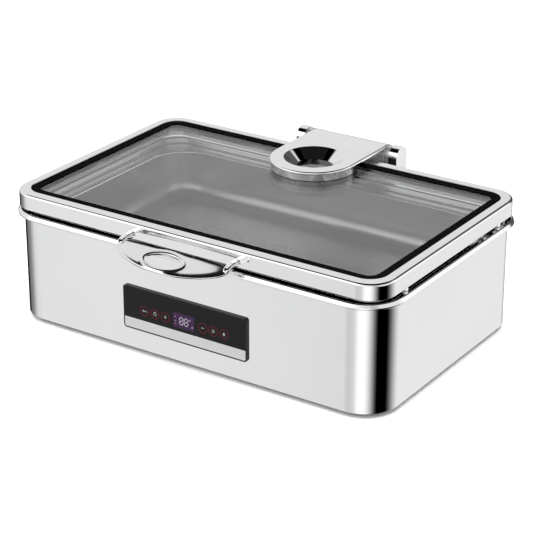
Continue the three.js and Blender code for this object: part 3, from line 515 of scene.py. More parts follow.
def cross_screw(name, node, body, x, y, face, seat, crown, side, tip, deep):
    """Screw with its head down and a cross in its face. crown and side are the head's corners, tip is the
    fillet at the other end."""
    shank, arm, half, step = 2.0, 1.9, 0.35, 0.01
    top = plan_box(node)[1].z
    screw = turned(name, [(0, face, 0), crown, side, (side[0], seat, 0.1), (shank, seat, 0.1),
                          (shank, top, tip), (0, top, 0)], x, y, 32)
    # the two arms of the cross are at slightly different heights, so that no faces coincide
    low, high = face - 0.5, face + deep
    boolean(screw, [block((x - arm, y - half, low), (x + arm, y + half, high)),
                    block((x - half, y - arm, low + step), (x + half, y + arm, high + step))])
    piece(screw, "plain_steel", body, node)


def make_feet():
    well, well_r = 2.8, 5.5  # the hollow in the sole for the screw's head
    face, seat = 1.0, 2.5  # of the screw's head
    for place in CORNERS:
        low, high = plan_box(f"foot_{place}")
        x, y = (low.x + high.x) / 2, (low.y + high.y) / 2
        radius = (high.x - low.x) / 2
        foot = turned(f"rubber_foot_{place}", [
            (FOOT_HOLE, well, 0.2), (well_r, well, 0.4), (well_r, 0, 0.5), (radius - 0.8, 0, 1.2),
            (radius, high.z, 0.5), (FOOT_HOLE, high.z, 0.2)], x, y, 48, closed=True)
        piece(foot, "black_rubber", "base", f"foot_{place}")
        cross_screw(f"foot_screw_head_{place}", f"foot_screw_{place}", "base", x, y, face, seat,
                    (3.0, face, 1.0), (4.2, 2.0, 0.3), 0.4, 0.9)


# ---- pans ----
def make_water_pan():
    low, high = plan_box("water_pan")
    floor, rim, edge = low.z + SHEET, high.z, high.x
    bead = 7.2  # width and height of the rim outside the shell
    rim_low = rim - bead
    middle, wall, recess = 200, 257.0, 268.0  # half widths of the floor's middle, the well and the seat
    ledge = plan_box("food_pan")[1].z - 3.8
    # the rim outside the shell is a rolled bead, a little flattened where it slopes
    corners = [
        (middle, floor - SHEET, 0), (wall + SHEET, floor - SHEET, 15), (wall + SHEET, ledge - SHEET, 1.0),
        (recess + SHEET, ledge - SHEET, 2.0), (recess + SHEET, rim - SHEET, 1.2),
        (edge - bead, rim - SHEET, 0.4), (edge - bead, rim_low, 2.4), (edge - 0.2, rim_low, 1.8),
        (edge, rim - 4.6, 1.6), (edge - 3.0, rim, 2.2), (recess, rim, 1.4), (recess, ledge, 1.2),
        (wall, ledge, 1.6), (wall, floor, 14), (middle, floor, 0)]

    def radius_at(half):
        return body_radius(half) if half > wall + 5 else 33 - (wall - half) / 2

    piece(swept("water_bath", corners, radius_at), "mirror_steel", "base", "water_pan")


def make_food_pan():
    low, high = plan_box("food_pan")
    edge, rim, floor = high.x, high.z, low.z + SHEET
    opening, foot = edge - 15, edge - 19  # half widths of the opening and of the walls' foot
    edge_r, foot_r = 32, 50  # plan corner radii
    middle = foot - 46

    def radius_at(half):
        if half > opening + 8:
            return edge_r - (edge - half)
        if half > foot:
            return foot_r + (half - foot) / 2
        return foot_r - (foot - half)

    pan = swept("gastronorm_pan", [
        (middle, floor - SHEET, 0), (foot + SHEET, floor - SHEET, 26), (opening + SHEET, rim - SHEET, 1.5),
        (edge - SHEET, rim - SHEET, 0.8), (edge - SHEET, rim - 3.5, 0.1), (edge, rim - 3.5, 0.3),
        (edge, rim, 1.6), (opening, rim, 2.4), (foot, floor, 25), (middle, floor, 0)], radius_at, arc=8)
    piece(pan, "satin_steel", "pan", "food_pan")
    # the rolled edge of the opening is polished
    pan.data.materials.append(FINISHES["cast_chrome"])
    for face in pan.data.polygons:
        at = face.center / MM
        inside = abs(at.x) < opening + 0.5 and abs(at.y) < opening - DIFF + 0.5
        if inside and rim - 2.3 < at.z < rim - 0.05:
            face.material_index = 1


# ---- lid ----
LID_LOW, LID_HIGH = plan_box("lid_frame")
LID_X, LID_Y = LID_HIGH.x, LID_HIGH.x - DIFF
LID_TOP, SKIRT = LID_HIGH.z, LID_LOW.z
GASKET_LOW, GASKET_HIGH = plan_box("lid_gasket")
GLASS_BOX_LOW, GLASS_BOX_HIGH = plan_box("lid_glass")
GLASS_LOW, GLASS_TOP, GLASS_X = GLASS_BOX_LOW.z, GLASS_BOX_HIGH.z, GLASS_BOX_HIGH.x
GAP = 0.3  # left between parts of the lid
BAND_X = GASKET_HIGH.x + GAP
LEDGE_TOP = GASKET_LOW.z - GAP
LEDGE_X = 259.7  # half width inside the ledge under the gasket
BAND_IN = 256.0  # half width inside the black band


def make_lid_frame():
    def radius_at(half):
        return LID_R - (LID_X - half) if half > BAND_X + 7 else BAND_R - (BAND_X - half)

    hem, hem_top = 1.5, 4.4  # rolled lower edge of the inner skirt
    lid = swept("lid_rim", [
        (LID_X, SKIRT, 0.4), (LID_X, LID_TOP, 3.4), (BAND_X, LID_TOP, 0.7), (BAND_X, LEDGE_TOP, 0.4),
        (LEDGE_X, LEDGE_TOP, 0.3), (LEDGE_X, LEDGE_TOP - SHEET, 0.3), (BAND_X, LEDGE_TOP - SHEET, 0.8),
        (BAND_X, SKIRT + hem_top, 0.3), (BAND_X - hem, SKIRT + hem_top, 1.3),
        (BAND_X - hem, SKIRT + 2.6, 0.3), (BAND_X - hem / 3, SKIRT + 2.2, 0.3),
        (BAND_X - hem / 3, SKIRT + 1.8, 0.3),
        (BAND_X - hem, SKIRT + 1.4, 0.4), (BAND_X - hem, SKIRT, 0.6),
        (BAND_X + SHEET, SKIRT, 0.3), (BAND_X + SHEET, LID_TOP - 2 * SHEET, 1.0),
        (LID_X - SHEET, LID_TOP - 2 * SHEET, 1.0), (LID_X - SHEET, SKIRT, 0.3)], radius_at, closed=True)
    piece(lid, "mirror_steel", "lid", "lid_frame")


def make_gasket():
    low, high, outer = GASKET_LOW.z, GASKET_HIGH.z, GASKET_HIGH.x
    seat, lower = GLASS_X + GAP, BAND_IN + 2.5

    def radius_at(half):
        return max(10.0, BAND_R - (BAND_X - half))

    gasket = swept("lid_seal", [
        (outer, low, 0.3), (outer, high, 0.7), (BAND_IN, high, 0.5), (BAND_IN, GLASS_TOP + GAP, 0.1),
        (seat, GLASS_TOP + GAP, 0.1), (seat, GLASS_LOW - GAP, 0.1), (lower, GLASS_LOW - GAP, 0.2),
        (lower, low, 0.3)], radius_at, closed=True, arc=3)
    piece(gasket, "black_rubber", "lid", "lid_gasket")


def make_glass():
    inner, edge_r, round_off = GLASS_X - 40, 19, 0.8
    pane = swept("glass_pane", [
        (inner, GLASS_LOW, 0), (GLASS_X, GLASS_LOW, round_off), (GLASS_X, GLASS_TOP, round_off),
        (inner, GLASS_TOP, 0)], lambda half: edge_r - (GLASS_X - half) / 3, arc=4, steps=12)
    boolean(pane, drills(CLAMP_SCREWS, Z, 3, GLASS_LOW - 1, GLASS_TOP + 1, 24))
    piece(pane, "tempered_glass", "lid", "lid_glass")


# ---- hinge ----
TONGUE_LOW, TONGUE_HIGH = plan_box("hinge_tongue")
TONGUE_X, TONGUE_TOP = TONGUE_HIGH.x, TONGUE_HIGH.z
BOSS_Y = TONGUE_LOW.y + TONGUE_X  # centre of the boss and its eye
BOSS_REAR = BAND_IN - DIFF - 1
PIN = box_centre("hinge_pin")
KNUCKLE_R = TONGUE_HIGH.z - PIN.z
EYE_TOP_R, EYE_LOW_R = 41.0, 26.0
TONGUE_THICK = 4.0
SEAT = GLASS_TOP + GAP
PIN_HOLE, DAMPER_HOLE, SCREW_HOLE = 4.3, 9.3, 2.3
WIDE = 90  # a cutter this long reaches past the hinge's ends


def pin_drill(radius, x0, x1, steps=32):
    """Drill along the hinge's axis."""
    return drill(radius, (x0, PIN.y, PIN.z), (x1, PIN.y, PIN.z), steps)


def tongue_outline(inset, count):
    """The tongue's plan, round in front and straight to the hinge axis, seen from the eye's centre."""
    half = TONGUE_X - inset
    rear = PIN.y - BOSS_Y
    corner = atan2(rear, half)
    points = []
    for i in range(count):
        turn = 2 * pi * i / count
        x, y = cos(turn), sin(turn)
        if turn >= pi or turn == 0:
            reach = half
        elif corner < turn < pi - corner:
            reach = rear / y
        else:
            reach = half / abs(x)
        points.append((reach * x, BOSS_Y + reach * y))
    return points


def eye_cutter():
    """The conical eye, flaring into the tongue's flat top."""
    lip, past, collar = 1.2, 3.0, 4  # fillet at the top; how far the cutter goes on; its wider top
    deep = TONGUE_TOP - SEAT
    slope = (EYE_TOP_R - EYE_LOW_R) / deep
    path = [Vector((AXIS, SEAT - past)), Vector((EYE_LOW_R, SEAT - past)), Vector((EYE_LOW_R, SEAT))]
    path += [Vector((EYE_LOW_R + slope * deep * i / 4, SEAT + deep * i / 4)) for i in range(1, 4)]
    path += round_path([(EYE_TOP_R - past * slope, TONGUE_TOP - past, 0), (EYE_TOP_R, TONGUE_TOP, lip),
                        (EYE_TOP_R + collar, TONGUE_TOP + 0.06, 0)], closed=False, arc=4)[1:]
    path += [Vector((EYE_TOP_R + collar, TONGUE_TOP + past)), Vector((AXIS, TONGUE_TOP + past))]
    return solid("cutter", turned_rings([(p.y, p.x) for p in path], Z, 0, BOSS_Y, 96))


def make_tongue():
    edge, edge_low = 2.4, 0.6  # rounding of the upper edge, chamfer of the lower one
    under = TONGUE_TOP - TONGUE_THICK
    levels = [(edge_low, under), (0, under + edge_low), (0, TONGUE_TOP - edge - HOLD)]
    levels += [(inset, TONGUE_TOP - down) for inset, down in rounding(edge, 6)]
    tongue = solid("hinge_tongue_plate", [[(x, y, z) for x, y in tongue_outline(inset, 144)]
                                          for inset, z in levels])
    boss_r, boss_top = TONGUE_X - 0.9, under + 0.4
    boss = turned("boss", [(0, SEAT, 0), (boss_r, SEAT, 0.5), (boss_r, boss_top, 0.1), (0, boss_top, 0)],
                  0, BOSS_Y, 96)
    boolean(boss, [block((-WIDE, BOSS_REAR, SEAT - 2), (WIDE, BOSS_REAR + WIDE, LID_TOP + GAP))])
    boolean(tongue, [boss], "UNION")
    barrel = make_barrel()
    damper_x = 30
    boolean(barrel, [pin_drill(PIN_HOLE, -WIDE, WIDE)] +
            [pin_drill(DAMPER_HOLE, sx * damper_x, sx * WIDE) for _, sx in SIDES])
    piece(barrel, "cast_chrome", "lid", finish="barrel_chrome", sharp=30)
    # the eye, a seat for the barrel and the clamp screws' holes
    boolean(tongue, [eye_cutter(), pin_drill(KNUCKLE_R - 0.6, -WIDE, WIDE, 48)] +
            drills(CLAMP_SCREWS, Z, SCREW_HOLE, SEAT - 1, SEAT + 8.5))
    piece(tongue, "cast_chrome", "lid", "hinge_tongue", sharp=30)


def make_barrel():
    """Barrel along X with a turned groove near each end."""
    groove, depth, half, lip = 48.0, 0.5, 0.4, 0.8
    section = [(0, 0, 0), (KNUCKLE_R, 0, 0.1), (KNUCKLE_R, groove - lip, 0.2),
               (KNUCKLE_R - depth, groove - half, 0.1), (KNUCKLE_R - depth, groove + half, 0.1),
               (KNUCKLE_R, groove + lip, 0.2), (KNUCKLE_R, TONGUE_X, 0.5), (0, TONGUE_X, 0)]
    right = [(x, max(r, AXIS)) for r, x in round_path(section, closed=False, arc=3)][2:]
    path = [(-x, r) for x, r in reversed(right)] + right
    return solid("knuckle", turned_rings(path, X, PIN.y, PIN.z, 72))


def make_spacers():
    for side, _ in SIDES:
        low, high = plan_box(f"hinge_spacer_{side}")
        radius = (high.z - low.z) / 2
        path = round_path([(low.x, PIN_HOLE, 0.1), (low.x, radius, 0.7), (high.x, radius, 0.7),
                           (high.x, PIN_HOLE, 0.1)], closed=True, arc=4)
        spacer = solid(f"hinge_ring_{side}", turned_rings(path, X, PIN.y, PIN.z, 72), closed=True)
        piece(spacer, "cast_chrome", "base", f"hinge_spacer_{side}", finish="barrel_chrome")


def make_clamp_ring():
    low, high = plan_box("glass_clamp_ring")
    inner, outer, side = 27, 58, 70  # the ring's radii and the half width of the cut behind it
    ring = turned("clamp_ring", [(inner, low.z, 0.8), (outer, low.z, 1.2), (outer, high.z, 0.3),
                                 (inner, high.z, 0.3)], 0, BOSS_Y, 96, closed=True)
    behind = block((-side, BOSS_REAR, low.z - 3), (side, BOSS_REAR + 60, high.z + 3))
    boolean(ring, [behind] + drills(CLAMP_SCREWS, Z, SCREW_HOLE, low.z - 1, high.z + 1))
    # the chrome ring is drawn in the dark steel, as painted shade
    piece(ring, "cast_chrome", "lid", "glass_clamp_ring", finish="painted_shade_steel")
    for number, screw in enumerate(CLAMP_SCREWS, 1):
        at, face = box_centre(screw), plan_box(screw)[0].z
        seat = face + 2.4
        cross_screw(f"clamp_screw_head_{number}", screw, "lid", at.x, at.y, face, seat, (3.4, face, 1.2),
                    (4.0, seat - 0.8, 0.4), 0.5, 1.1)


def make_bracket():
    """Rear bracket: a wall plate and two arched cheeks, cast as one."""
    low, high = plan_box("hinge_bracket")
    ear_out, ear_in, ear_r = high.x, 68.0, high.z - PIN.z
    wall, thick = low.y, 4.0
    top = plan_box("water_pan")[1].z - 13.2
    arcs = 24
    outline = [(PIN.y + y, PIN.z + z) for y, z in circle(ear_r, 2 * arcs)[:arcs + 1]]
    outline += [(PIN.y - ear_r, PIN.z - 16), (wall + 10, top), (wall + 1, top), (wall + 1, low.z),
                (wall + 8, low.z), (PIN.y + ear_r, PIN.z - 30)]
    bracket = plate("hinge_support", ear_out, (low.z, top), 4, (wall, wall + thick), 0.01)
    cheeks = []
    for _, sx in SIDES:
        x0, x1 = sorted((sx * ear_in, sx * ear_out))
        cheeks.append(solid("cheek", [[(x, y, z) for y, z in outline] for x in (x0, x1)]))
    boolean(bracket, cheeks, "UNION")
    bevel(bracket, 1.2, 4, 32)
    reach = ear_out - 2.5  # the pin's blind holes stop inside the cheeks
    boolean(bracket, [pin_drill(PIN_HOLE, -reach, reach)] +
            drills(BOLTS, Y, BOLT_HOLE, wall - 2, wall + thick + 4))
    piece(bracket, "cast_chrome", "base", "hinge_bracket", sharp=30)


def screw_along_y(name, node, shank, tip, head, head_r, crown, steps, arc):
    """Screw with its head at the back: its shank's radius and tip fillet, its head's height, radius and the
    corners (how far in from the face, radius, fillet) of its crown."""
    low, high = plan_box(node)
    at, seat = box_centre(node), high.y - head
    section = [(low.y, AXIS, 0), (low.y, shank, tip), (seat, shank, 0.1), (seat, head_r, 0.2)]
    section += [(high.y - deep, radius, fillet) for deep, radius, fillet in crown] + [(high.y, AXIS, 0)]
    return solid(name, turned_rings(round_path(section, False, arc), Y, at.x, at.z, steps))


def make_bolts():
    """Button-head bolts with a hexagon socket."""
    for bolt in BOLTS:
        at, face = box_centre(bolt), plan_box(bolt)[1].y
        body = screw_along_y(bolt.replace("bolt", "button_bolt"), bolt, 2.5, 0.4, 3.2, 4.6,
                             ((2.0, 4.6, 1.0), (0, 3.0, 0.8)), 36, 4)
        boolean(body, [drill(1.7, (at.x, face - 2, at.z), (at.x, face + 1, at.z), 6)])
        piece(body, "plain_steel", "base", bolt)


# ---- lid handle ----
HANDLE_LOW, HANDLE_HIGH = plan_box("lid_handle")
HANDLE_TILT = radians(13.5)
HANDLE_A = HANDLE_HIGH.x  # half length of the crescent
HANDLE_Y, HANDLE_Z = -198.0, HANDLE_HIGH.z - 2.5
HANDLE_B = (HANDLE_Y - HANDLE_LOW.y) / cos(HANDLE_TILT)
EYE_A, EYE_B = 27.0, 13.0  # half axes of the eye
EYE_X, EYE_IN = -3.0, 21.5  # its centre along the handle and in front of the straight edge
DOME, DOME_REACH = 2.2, 2.6  # how far the crescent's front edge bends down, over what distance
BACK, BACK_REACH = 2.0, 3.0  # how far the straight edge stands up, over what distance
FALL = 0.05  # slope towards the front, on top of the tilt
EDGE_DROP = 1.9  # the crescent's edge is this far below its middle plane
SAG = 3.0  # its tips hang this far below its middle
LIP, LIP_AT, LIP_WIDE = 1.2, 3.2, 2.6  # soft lip round the eye: height, how far outside it, how wide
ROLL, ROLL_WIDE = 0.4, 0.9  # how far the eye's edge rolls down, over what distance


def crescent_reach(turn):
    """How far the crescent's outline is from its eye's centre, in the direction turn."""
    x, y = cos(turn), sin(turn)
    a = (x / HANDLE_A) ** 2 + (y / HANDLE_B) ** 2
    b = 2 * (EYE_X * x / HANDLE_A ** 2 - EYE_IN * y / HANDLE_B ** 2)
    c = (EYE_X / HANDLE_A) ** 2 + (EYE_IN / HANDLE_B) ** 2 - 1
    reach = (-b + sqrt(b * b - 4 * a * c)) / (2 * a)
    return min(reach, EYE_IN / y) if y > 0 else reach


def crescent_sag(x):
    return SAG * (x / HANDLE_A) ** 4


def crescent_height(x, front):
    """Height of the crescent's top at x along it and this far in front of its straight edge."""
    e = max(hypot(x / HANDLE_A, front / HANDLE_B), 1e-3)
    slope = hypot(x / HANDLE_A ** 2, front / HANDLE_B ** 2) / e
    to_curve = max(0.0, (1 - e) / max(slope, 1e-4))
    bowl = DOME * (1 - exp(-to_curve / DOME_REACH)) - FALL * front
    return bowl + BACK * exp(-max(front, 0) / BACK_REACH) - EDGE_DROP - crescent_sag(x)


def lip_height(off):
    """Extra height of the soft lip this far outside the eye's edge."""
    return LIP * exp(-((off - LIP_AT) / LIP_WIDE) ** 2) - ROLL * exp(-(off / ROLL_WIDE) ** 2)


def make_handle():
    """Crescent from rings round the eye: edge, top from the outline in, wall, underside back to the edge."""
    count, thick = 120, 3.0
    # rings on top: shares of the way from the outline to the eye, then distances from the eye; then below
    shares = (0.0, 0.02, 0.05, 0.09, 0.15, 0.23, 0.34, 0.46, 0.58)
    offs = (7.5, 6.0, 4.4, 3.2, 2.0, 1.0, 0.3, 0.0)
    under, under_shares = (1.3, 2.6, 4.5), (0.5, 0.2, 0.05)

    def ring(place, height):
        points = []
        for i in range(count):
            turn = 2 * pi * (i + 0.5) / count
            outer = crescent_reach(turn)
            inner = 1 / hypot(cos(turn) / EYE_A, sin(turn) / EYE_B)
            reach = place(outer, inner)
            x, front = EYE_X + reach * cos(turn), EYE_IN - reach * sin(turn)
            rise = height(x, front, reach - inner)
            y = HANDLE_Y - front * cos(HANDLE_TILT) - rise * sin(HANDLE_TILT)
            points.append((x, y, HANDLE_Z - front * sin(HANDLE_TILT) + rise * cos(HANDLE_TILT)))
        return points

    def share_ring(share, height):
        return ring(lambda outer, inner: outer - (outer - inner) * share, height)

    def off_ring(off, most, height):
        """A ring this far from the eye, but never more than this share of the way to the outline."""
        return ring(lambda outer, inner: inner + min(off, (outer - inner) * most), height)

    def top(x, front, off):
        return crescent_height(x, front) + lip_height(off)

    def below(x, front, off):
        return min(crescent_height(x, front) - thick, -EDGE_DROP - 2.0 - crescent_sag(x))

    rings = [ring(lambda outer, inner: outer - 0.9, lambda x, front, off: -EDGE_DROP - 2.9 - crescent_sag(x))]
    rings += [share_ring(share, top) for share in shares]
    rings += [off_ring(off, 0.36 * off / 9, top) for off in offs]
    rings += [ring(lambda outer, inner: inner + 0.8,
                   lambda x, front, off: crescent_height(x, front) - thick + 0.8)]
    rings += [off_ring(off, 0.2 * off / 4.5, below) for off in under]
    rings += [share_ring(share, below) for share in under_shares]
    crescent = solid("handle_crescent", rings, closed=True)
    smooth = crescent.modifiers.new("smooth", "SUBSURF")
    smooth.levels = smooth.render_levels = 1
    applied(crescent)
    piece(crescent, "cast_chrome", "lid", "lid_handle", finish="soft_chrome", sharp=75)
    strap_x = 80
    for side, sx in SIDES:
        make_strap(f"handle_strap_{side}", sx * strap_x)


def make_strap(name, x):
    """Rounded bar from the skirt out to the crescent's tip."""
    half, foot, top = 5.0, HANDLE_Z - 5.0, HANDLE_Z + 2.4
    # along the bar: how far out it is, how much narrower, and how far its top has come down
    stations = ((-0.3, -0.7, -0.5), (0.6, 0.0, 0.0), (6, 0.2, 0.0), (12, 0.3, 0.3), (17, 0.3, 1.0),
                (21, 0.6, 2.2), (24, 1.3, 3.8), (26, 2.4, 5.4))
    rings = []
    for out, slim, drop in stations:
        low = foot - drop * 0.35
        half_z = (top - drop - low) / 2
        outline = rounded_rectangle(half - slim, half_z, min(half_z, half - slim) * 0.75, 6)
        rings.append([(x + p.x, -LID_Y - out, (low + top - drop) / 2 + p.y) for p in outline])
    piece(solid(name, rings), "cast_chrome", "lid", sharp=50)


def make_handle_screws():
    for side, _ in SIDES:
        node = f"handle_screw_{side}"
        body = screw_along_y(f"handle_bolt_{side}", node, 1.5, 0.3, 2, 3.0, ((0, 2.6, 0.6),), 24, 3)
        piece(body, "plain_steel", "lid", node)


# ---- control panel ----
RIM = 1.8  # black edge of the bezel round the glass and the strip
PRINT, SUNK = 0.12, 0.05  # how far the printed marks stand out of the glass, and go into it


def make_panel():
    low, high = plan_box("panel_bezel")
    strip_high = plan_box("panel_strip")[1]
    glass_low, glass_high = plan_box("panel_glass")
    half, radius, front = high.x, 4.0, glass_low.y
    inner = (low.z + RIM, high.z - RIM)
    edge, gap, past = 0.3, 0.05, 5  # past: how far a cutter goes beyond the panel
    bezel = plate("panel_frame", half, (low.z, high.z), radius, (front + 0.1, high.y), edge)
    display_low, display_high = plan_box("display_module")
    room = 1.5  # left round the display
    boolean(bezel, [
        plate("cutter", half - RIM, inner, radius - RIM, (front - 1, low.y), 0.1),
        block((display_low.x - room, low.y - 1, display_low.z - room),
              (display_high.x + room, high.y + 1, display_high.z + room))])
    piece(bezel, "black_plastic", "base", "panel_bezel")
    for name, cut_low, cut_high, slot, node in (
            ("touch_glass", low.z - past, glass_low.z, "black_glass", "panel_glass"),
            ("touch_strip", strip_high.z, high.z + past, "brushed_strip", "panel_strip")):
        face = plate(name, half - RIM - gap, (inner[0] + gap, inner[1] - gap), radius - RIM,
                     (front, glass_high.y), edge)
        boolean(face, [block((-half - past, front - past, cut_low),
                             (half + past, glass_high.y + past, cut_high))])
        piece(face, slot, "base", node, sharp=30)
    make_icons(front, low.z)


def flat_ring(x, z, radius, width, y, steps=40):
    """Closed ring print on the panel's face."""
    inner, outer = radius - width / 2, radius + width / 2
    section = [(y - PRINT, inner), (y - PRINT, outer), (y + SUNK, outer), (y + SUNK, inner)]
    return skin(turned_rings(section, Y, x, z, steps), closed=True)


def flat_shape(corners, y):
    """Closed flat print with these (x, z) corners."""
    return skin([[(x, depth, z) for x, z in corners] for depth in (y - PRINT, y + SUNK)], closed=False)


def bar_mark(x, z, half_w, half_h, y):
    return flat_shape([(x + side * half_w, z + level * half_h)
                       for side, level in ((-1, -1), (1, -1), (1, 1), (-1, 1))], y)


def merged(name, shapes):
    points, faces = [], []
    for shape_points, shape_faces in shapes:
        base = len(points)
        points += shape_points
        faces += [tuple(base + i for i in face) for face in shape_faces]
    return make_mesh(name, points, faces)


def seven_segments(x, z, height, y):
    """The digit 8 as seven bars."""
    w, h, t = height * 0.27, height / 2, height * 0.06
    bars = [bar_mark(x, z + level * h, w - t * 1.6, t, y) for level in (-1, 0, 1)]
    for side in (-1, 1):
        for level in (-0.5, 0.5):
            bars.append(bar_mark(x + side * w, z + level * h, t, h / 2 - t * 1.4, y))
    return bars


def make_icons(face, panel_low):
    """Six touch keys, three on each side of the display, and the display with its digits."""
    z = panel_low + 30.0  # height of the keys' middles
    pitch, first, key_r = 16.2, 28.8, 6.5
    keys = [-first - pitch * i for i in (2, 1, 0)] + [first + pitch * i for i in (0, 1, 2)]
    rings = merged("key_rings", [flat_ring(x, z, key_r, 0.5, face) for x in keys])
    piece(rings, "red_sleeve", "base", finish="key_red")
    key, power, plus, minus, menu, drop = keys
    marks = [
        flat_ring(key - 1.9, z, 1.1, 0.7, face, 20),
        bar_mark(key + 1.2, z, 2.1, 0.35, face),
        bar_mark(key + 2.9, z - 0.8, 0.35, 0.8, face),
        flat_ring(power, z, 2.3, 0.6, face, 24),
        bar_mark(power, z + 2.0, 0.4, 1.4, face),
        bar_mark(plus, z, 2.2, 0.4, face),
        bar_mark(plus, z, 0.4, 2.2, face),
        bar_mark(minus, z, 2.2, 0.45, face),
    ]
    marks += [bar_mark(menu, z + step, 2.0, 0.3, face) for step in (-1.6, 0.0, 1.6)]
    kite = [(drop, z + 2.6), (drop - 1.9, z - 0.4), (drop, z - 2.6), (drop + 1.9, z - 0.4)]
    piece(merged("key_icons", marks + [flat_shape(kite, face)]), "ceramic_white", "base", finish="key_white")

    low, high = plan_box("display_module")
    x, z = (low.x + high.x) / 2, (low.z + high.z) / 2
    screen = plate("display_screen", (high.x - low.x) / 2, (low.z, high.z), 0.8, (face - PRINT, face + SUNK),
                   0.03, 3)
    for vertex in screen.data.vertices:
        vertex.co.x += x * MM
    piece(screen, "blue_plastic", "base", finish="display_violet")
    lit = face - PRINT
    digits = [bar for step in (-3.7, 3.7) for bar in seven_segments(x + step, z, 9.8, lit)]
    digits += [flat_ring(x + 9.6, z + 4.2, 0.9, 0.4, lit, 16)]
    digits += [bar_mark(x + 13.0, z + step, 1.0, 0.3, lit) for step in (-5.5, -4.0)]
    digits += [bar_mark(x - 13.0, z + step, 0.9, 0.3, lit) for step in (-5, -1, 4.5)]
    piece(merged("display_digits", digits), "blue_plastic", "base", finish="digit_white")


# ---- inlet and bumpers ----
def make_inlet():
    low, high = plan_box("mains_inlet")
    middle = box_centre("mains_inlet")
    flange, well = high.y - 2.5, high.y - 18.5
    inlet = block((low.x, flange, low.z), (high.x, high.y, high.z), "inlet_socket")
    bevel(inlet, 0.8)
    boolean(inlet, [block_round(middle, 13.4, 9.8, low.y, flange + 1)], "UNION")
    cutters = [block_round(middle, 12, 8.4, well, high.y + 2)]
    bevel(cutters[0], 3.0, 5)
    pins = [(pin, *plan_box(f"inlet_pin_{pin}")) for pin in ("live", "neutral", "earth")]
    cutters += [block((pin_low.x - GAP, pin_low.y - 2, pin_low.z - GAP),
                      (pin_high.x + GAP, well + 1.5, pin_high.z + GAP)) for _, pin_low, pin_high in pins]
    boolean(inlet, cutters)
    piece(inlet, "black_plastic", "base", "mains_inlet", sharp=30)
    for pin, pin_low, pin_high in pins:
        blade = block(pin_low, pin_high, f"contact_{pin}")
        bevel(blade, 0.45)
        piece(blade, "brass_contact", "base", f"inlet_pin_{pin}")


def make_bumpers():
    for place in CORNERS:
        low, high = plan_box(f"lid_bumper_{place}")
        radius = (high.x - low.x) / 2
        bumper = turned(f"rest_button_{place}", [
            (0, low.z, 0), (radius, low.z, 0.3), (radius, high.z, 1.2), (0, high.z, 0)],
            (low.x + high.x) / 2, (low.y + high.y) / 2, 32)
        piece(bumper, "clear_silicone", "base", f"lid_bumper_{place}")


# ---- studio ----
# Brightness by compass angle, in degrees from the front towards the right, in bands one above the other:
# nearly black steeply below, white walls below the horizon, softboxes at and above it, one high softbox at
# the rear left, and a black ceiling. Dark gaps in the walls draw the dark bands down the round corners.
WALLS = ((-180, 0.60), (-165, 0.40), (-149, 0.0), (-116, 0.0), (-89, 0.24), (-53, 0.80), (-38, 0.86),
         (-19, 0.66), (-7, 0.72), (14, 1.15), (26, 1.15), (68, 0.0), (96, 0.0), (151, 0.90), (168, 0.90),
         (178, 0.62))
SOFTBOXES = ((-180, 0.05), (-163, 0.10), (-153, 0.82), (-100, 0.82), (-70, 0.90), (-48, 1.40), (-22, 1.40),
             (10, 1.0), (36, 0.90), (48, 0.60), (58, 0.60), (70, 0.85), (120, 0.90), (138, 1.20), (149, 1.10),
             (160, 0.10))
HIGH_BOX = ((-162, 0.0), (-153, 0.82), (-108, 0.82), (-98, 0.0))
BELOW, CEILING = (0.03, 0.03, 0.03, 1), (0.01, 0.01, 0.01, 1)
# sines of the elevations where one band gives way to the next
FLOOR_TOP, WALL_TOP, SOFTBOX_TOP, HIGH_BOX_TOP = (-0.93, -0.84), (-0.20, -0.10), (0.64, 0.72), (0.84, 0.88)


def make_floor():
    radius = 30.0
    mesh = bpy.data.meshes.new("floor")
    mesh.from_pydata([(x, y, 0) for x, y in circle(radius, 64)], [], [tuple(range(64))])
    floor = bpy.data.objects.new("floor", mesh)
    SCENE.collection.objects.link(floor)
    mesh.materials.append(Finish("pale_floor", (0.93, 0.93, 0.93), 0.0, 0.9).material)
    floor.visible_glossy = False


def make_studio():
    world = bpy.data.worlds.new("studio")
    SCENE.world = world
    world.use_nodes = True
    tree = world.node_tree
    place = add_node(tree, "TexCoord", {}).outputs["Generated"]
    split = add_node(tree, "SeparateXYZ", {"Vector": place}).outputs
    front = add_node(tree, "Math", {0: split["Y"], 1: -1}, operation="MULTIPLY").outputs["Value"]
    angle = add_node(tree, "Math", {0: split["X"], 1: front}, operation="ARCTAN2").outputs["Value"]
    turn = add_node(tree, "MapRange", {"From Min": -pi, "From Max": pi, "Value": angle})

    def ring(panels):
        ramp = add_node(tree, "ValToRGB", {"Fac": turn.outputs["Result"]})
        ramp.color_ramp.interpolation = "EASE"
        stops = ramp.color_ramp.elements
        while len(stops) < len(panels):
            stops.new(0.5)
        for stop, (degrees, bright) in zip(stops, panels):
            stop.position = degrees / 360 + 0.5
            stop.color = (bright, bright, bright, 1)
        return ramp.outputs["Color"]

    def blend(factor, lower, upper):
        mix = add_node(tree, "Mix", {"Factor": factor, "A": lower, "B": upper}, data_type="RGBA")
        return mix.outputs["Result"]

    def above(limits, lower, upper):
        """Upper band over lower, blended between two sines of elevation."""
        share = add_node(tree, "MapRange", {"From Min": limits[0], "From Max": limits[1],
                                                      "Value": split["Z"]}, interpolation_type="SMOOTHSTEP")
        return blend(share.outputs["Result"], lower, upper)

    room = above(FLOOR_TOP, BELOW, ring(WALLS))
    room = above(WALL_TOP, room, ring(SOFTBOXES))
    room = above(SOFTBOX_TOP, room, ring(HIGH_BOX))
    room = above(HIGH_BOX_TOP, room, CEILING)
    # what the camera sees past the floor is plain white
    seen = add_node(tree, "LightPath", {}).outputs["Is Camera Ray"]
    background = tree.nodes["Background"]
    tree.links.new(blend(seen, room, (1, 1, 1, 1)), background.inputs["Color"])
    background.inputs["Strength"].default_value = 1.0


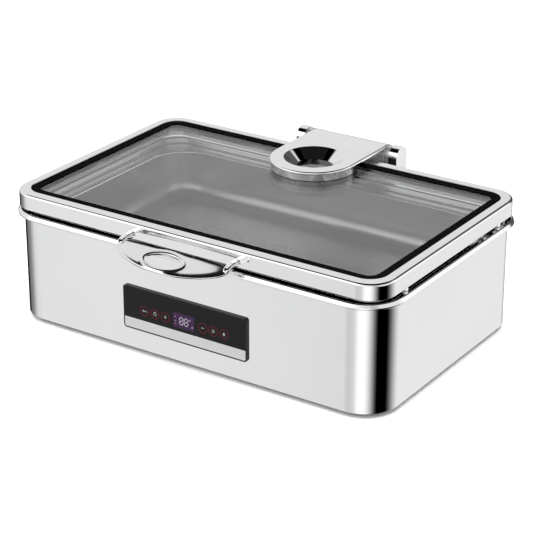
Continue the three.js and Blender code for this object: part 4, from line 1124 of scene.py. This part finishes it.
def aimed(name, data, place, way):
    """A lamp or camera at this place, turned to look this way."""
    obj = bpy.data.objects.new(name, data)
    obj.location = place
    obj.rotation_mode = "QUATERNION"
    obj.rotation_quaternion = way.to_track_quat("-Z", "Y")
    SCENE.collection.objects.link(obj)
    return obj


def make_lights():
    """An overhead softbox and an even sky light; the metal reflects the studio's walls and not these."""
    softbox = bpy.data.lights.new("ceiling_box", "AREA")
    softbox.shape = "SQUARE"
    softbox.size = 2.6
    softbox.energy = 60.0
    sky = bpy.data.lights.new("sky", "SUN")
    sky.energy = 3.0
    sky.angle = radians(110)
    for light, place in ((softbox, (0.3, -0.2, 2.4)), (sky, (-0.3, -0.5, 3.0))):
        aimed(light.name, light, place, -Vector(place)).visible_glossy = False


CAMERA_AZIMUTH, CAMERA_ELEVATION = radians(33.685), radians(23.822)
CAMERA_DISTANCE = 2.591
CAMERA_AIM = (0.0026, 0.0623)  # how far the view is moved right and up off the shell's middle
CAMERA_LENS, CAMERA_SENSOR = 130.89, 36


def make_camera():
    a, e = CAMERA_AZIMUTH, CAMERA_ELEVATION
    back = Vector((sin(a) * cos(e), -cos(a) * cos(e), sin(e)))
    right = Vector((cos(a), sin(a), 0))
    up = back.cross(right)
    data = bpy.data.cameras.new("camera")
    data.lens = CAMERA_LENS
    data.sensor_width = CAMERA_SENSOR
    data.clip_start, data.clip_end = 0.05, 100
    middle = Vector((0, SHIFT_Y * MM, SHELL_LOW.z * MM))
    place = middle + back * CAMERA_DISTANCE + right * CAMERA_AIM[0] + up * CAMERA_AIM[1]
    SCENE.camera = aimed("camera", data, place, -back)
    SCENE.view_settings.view_transform = "Standard"


make_camera()
make_studio()
make_lights()
make_floor()
make_finishes()
paint_cad_nodes()
make_shell()
make_base_cover()
make_feet()
make_water_pan()
make_food_pan()
make_lid_frame()
make_gasket()
make_glass()
make_tongue()
make_spacers()
make_clamp_ring()
make_bracket()
make_bolts()
make_handle()
make_handle_screws()
make_panel()
make_inlet()
make_bumpers()
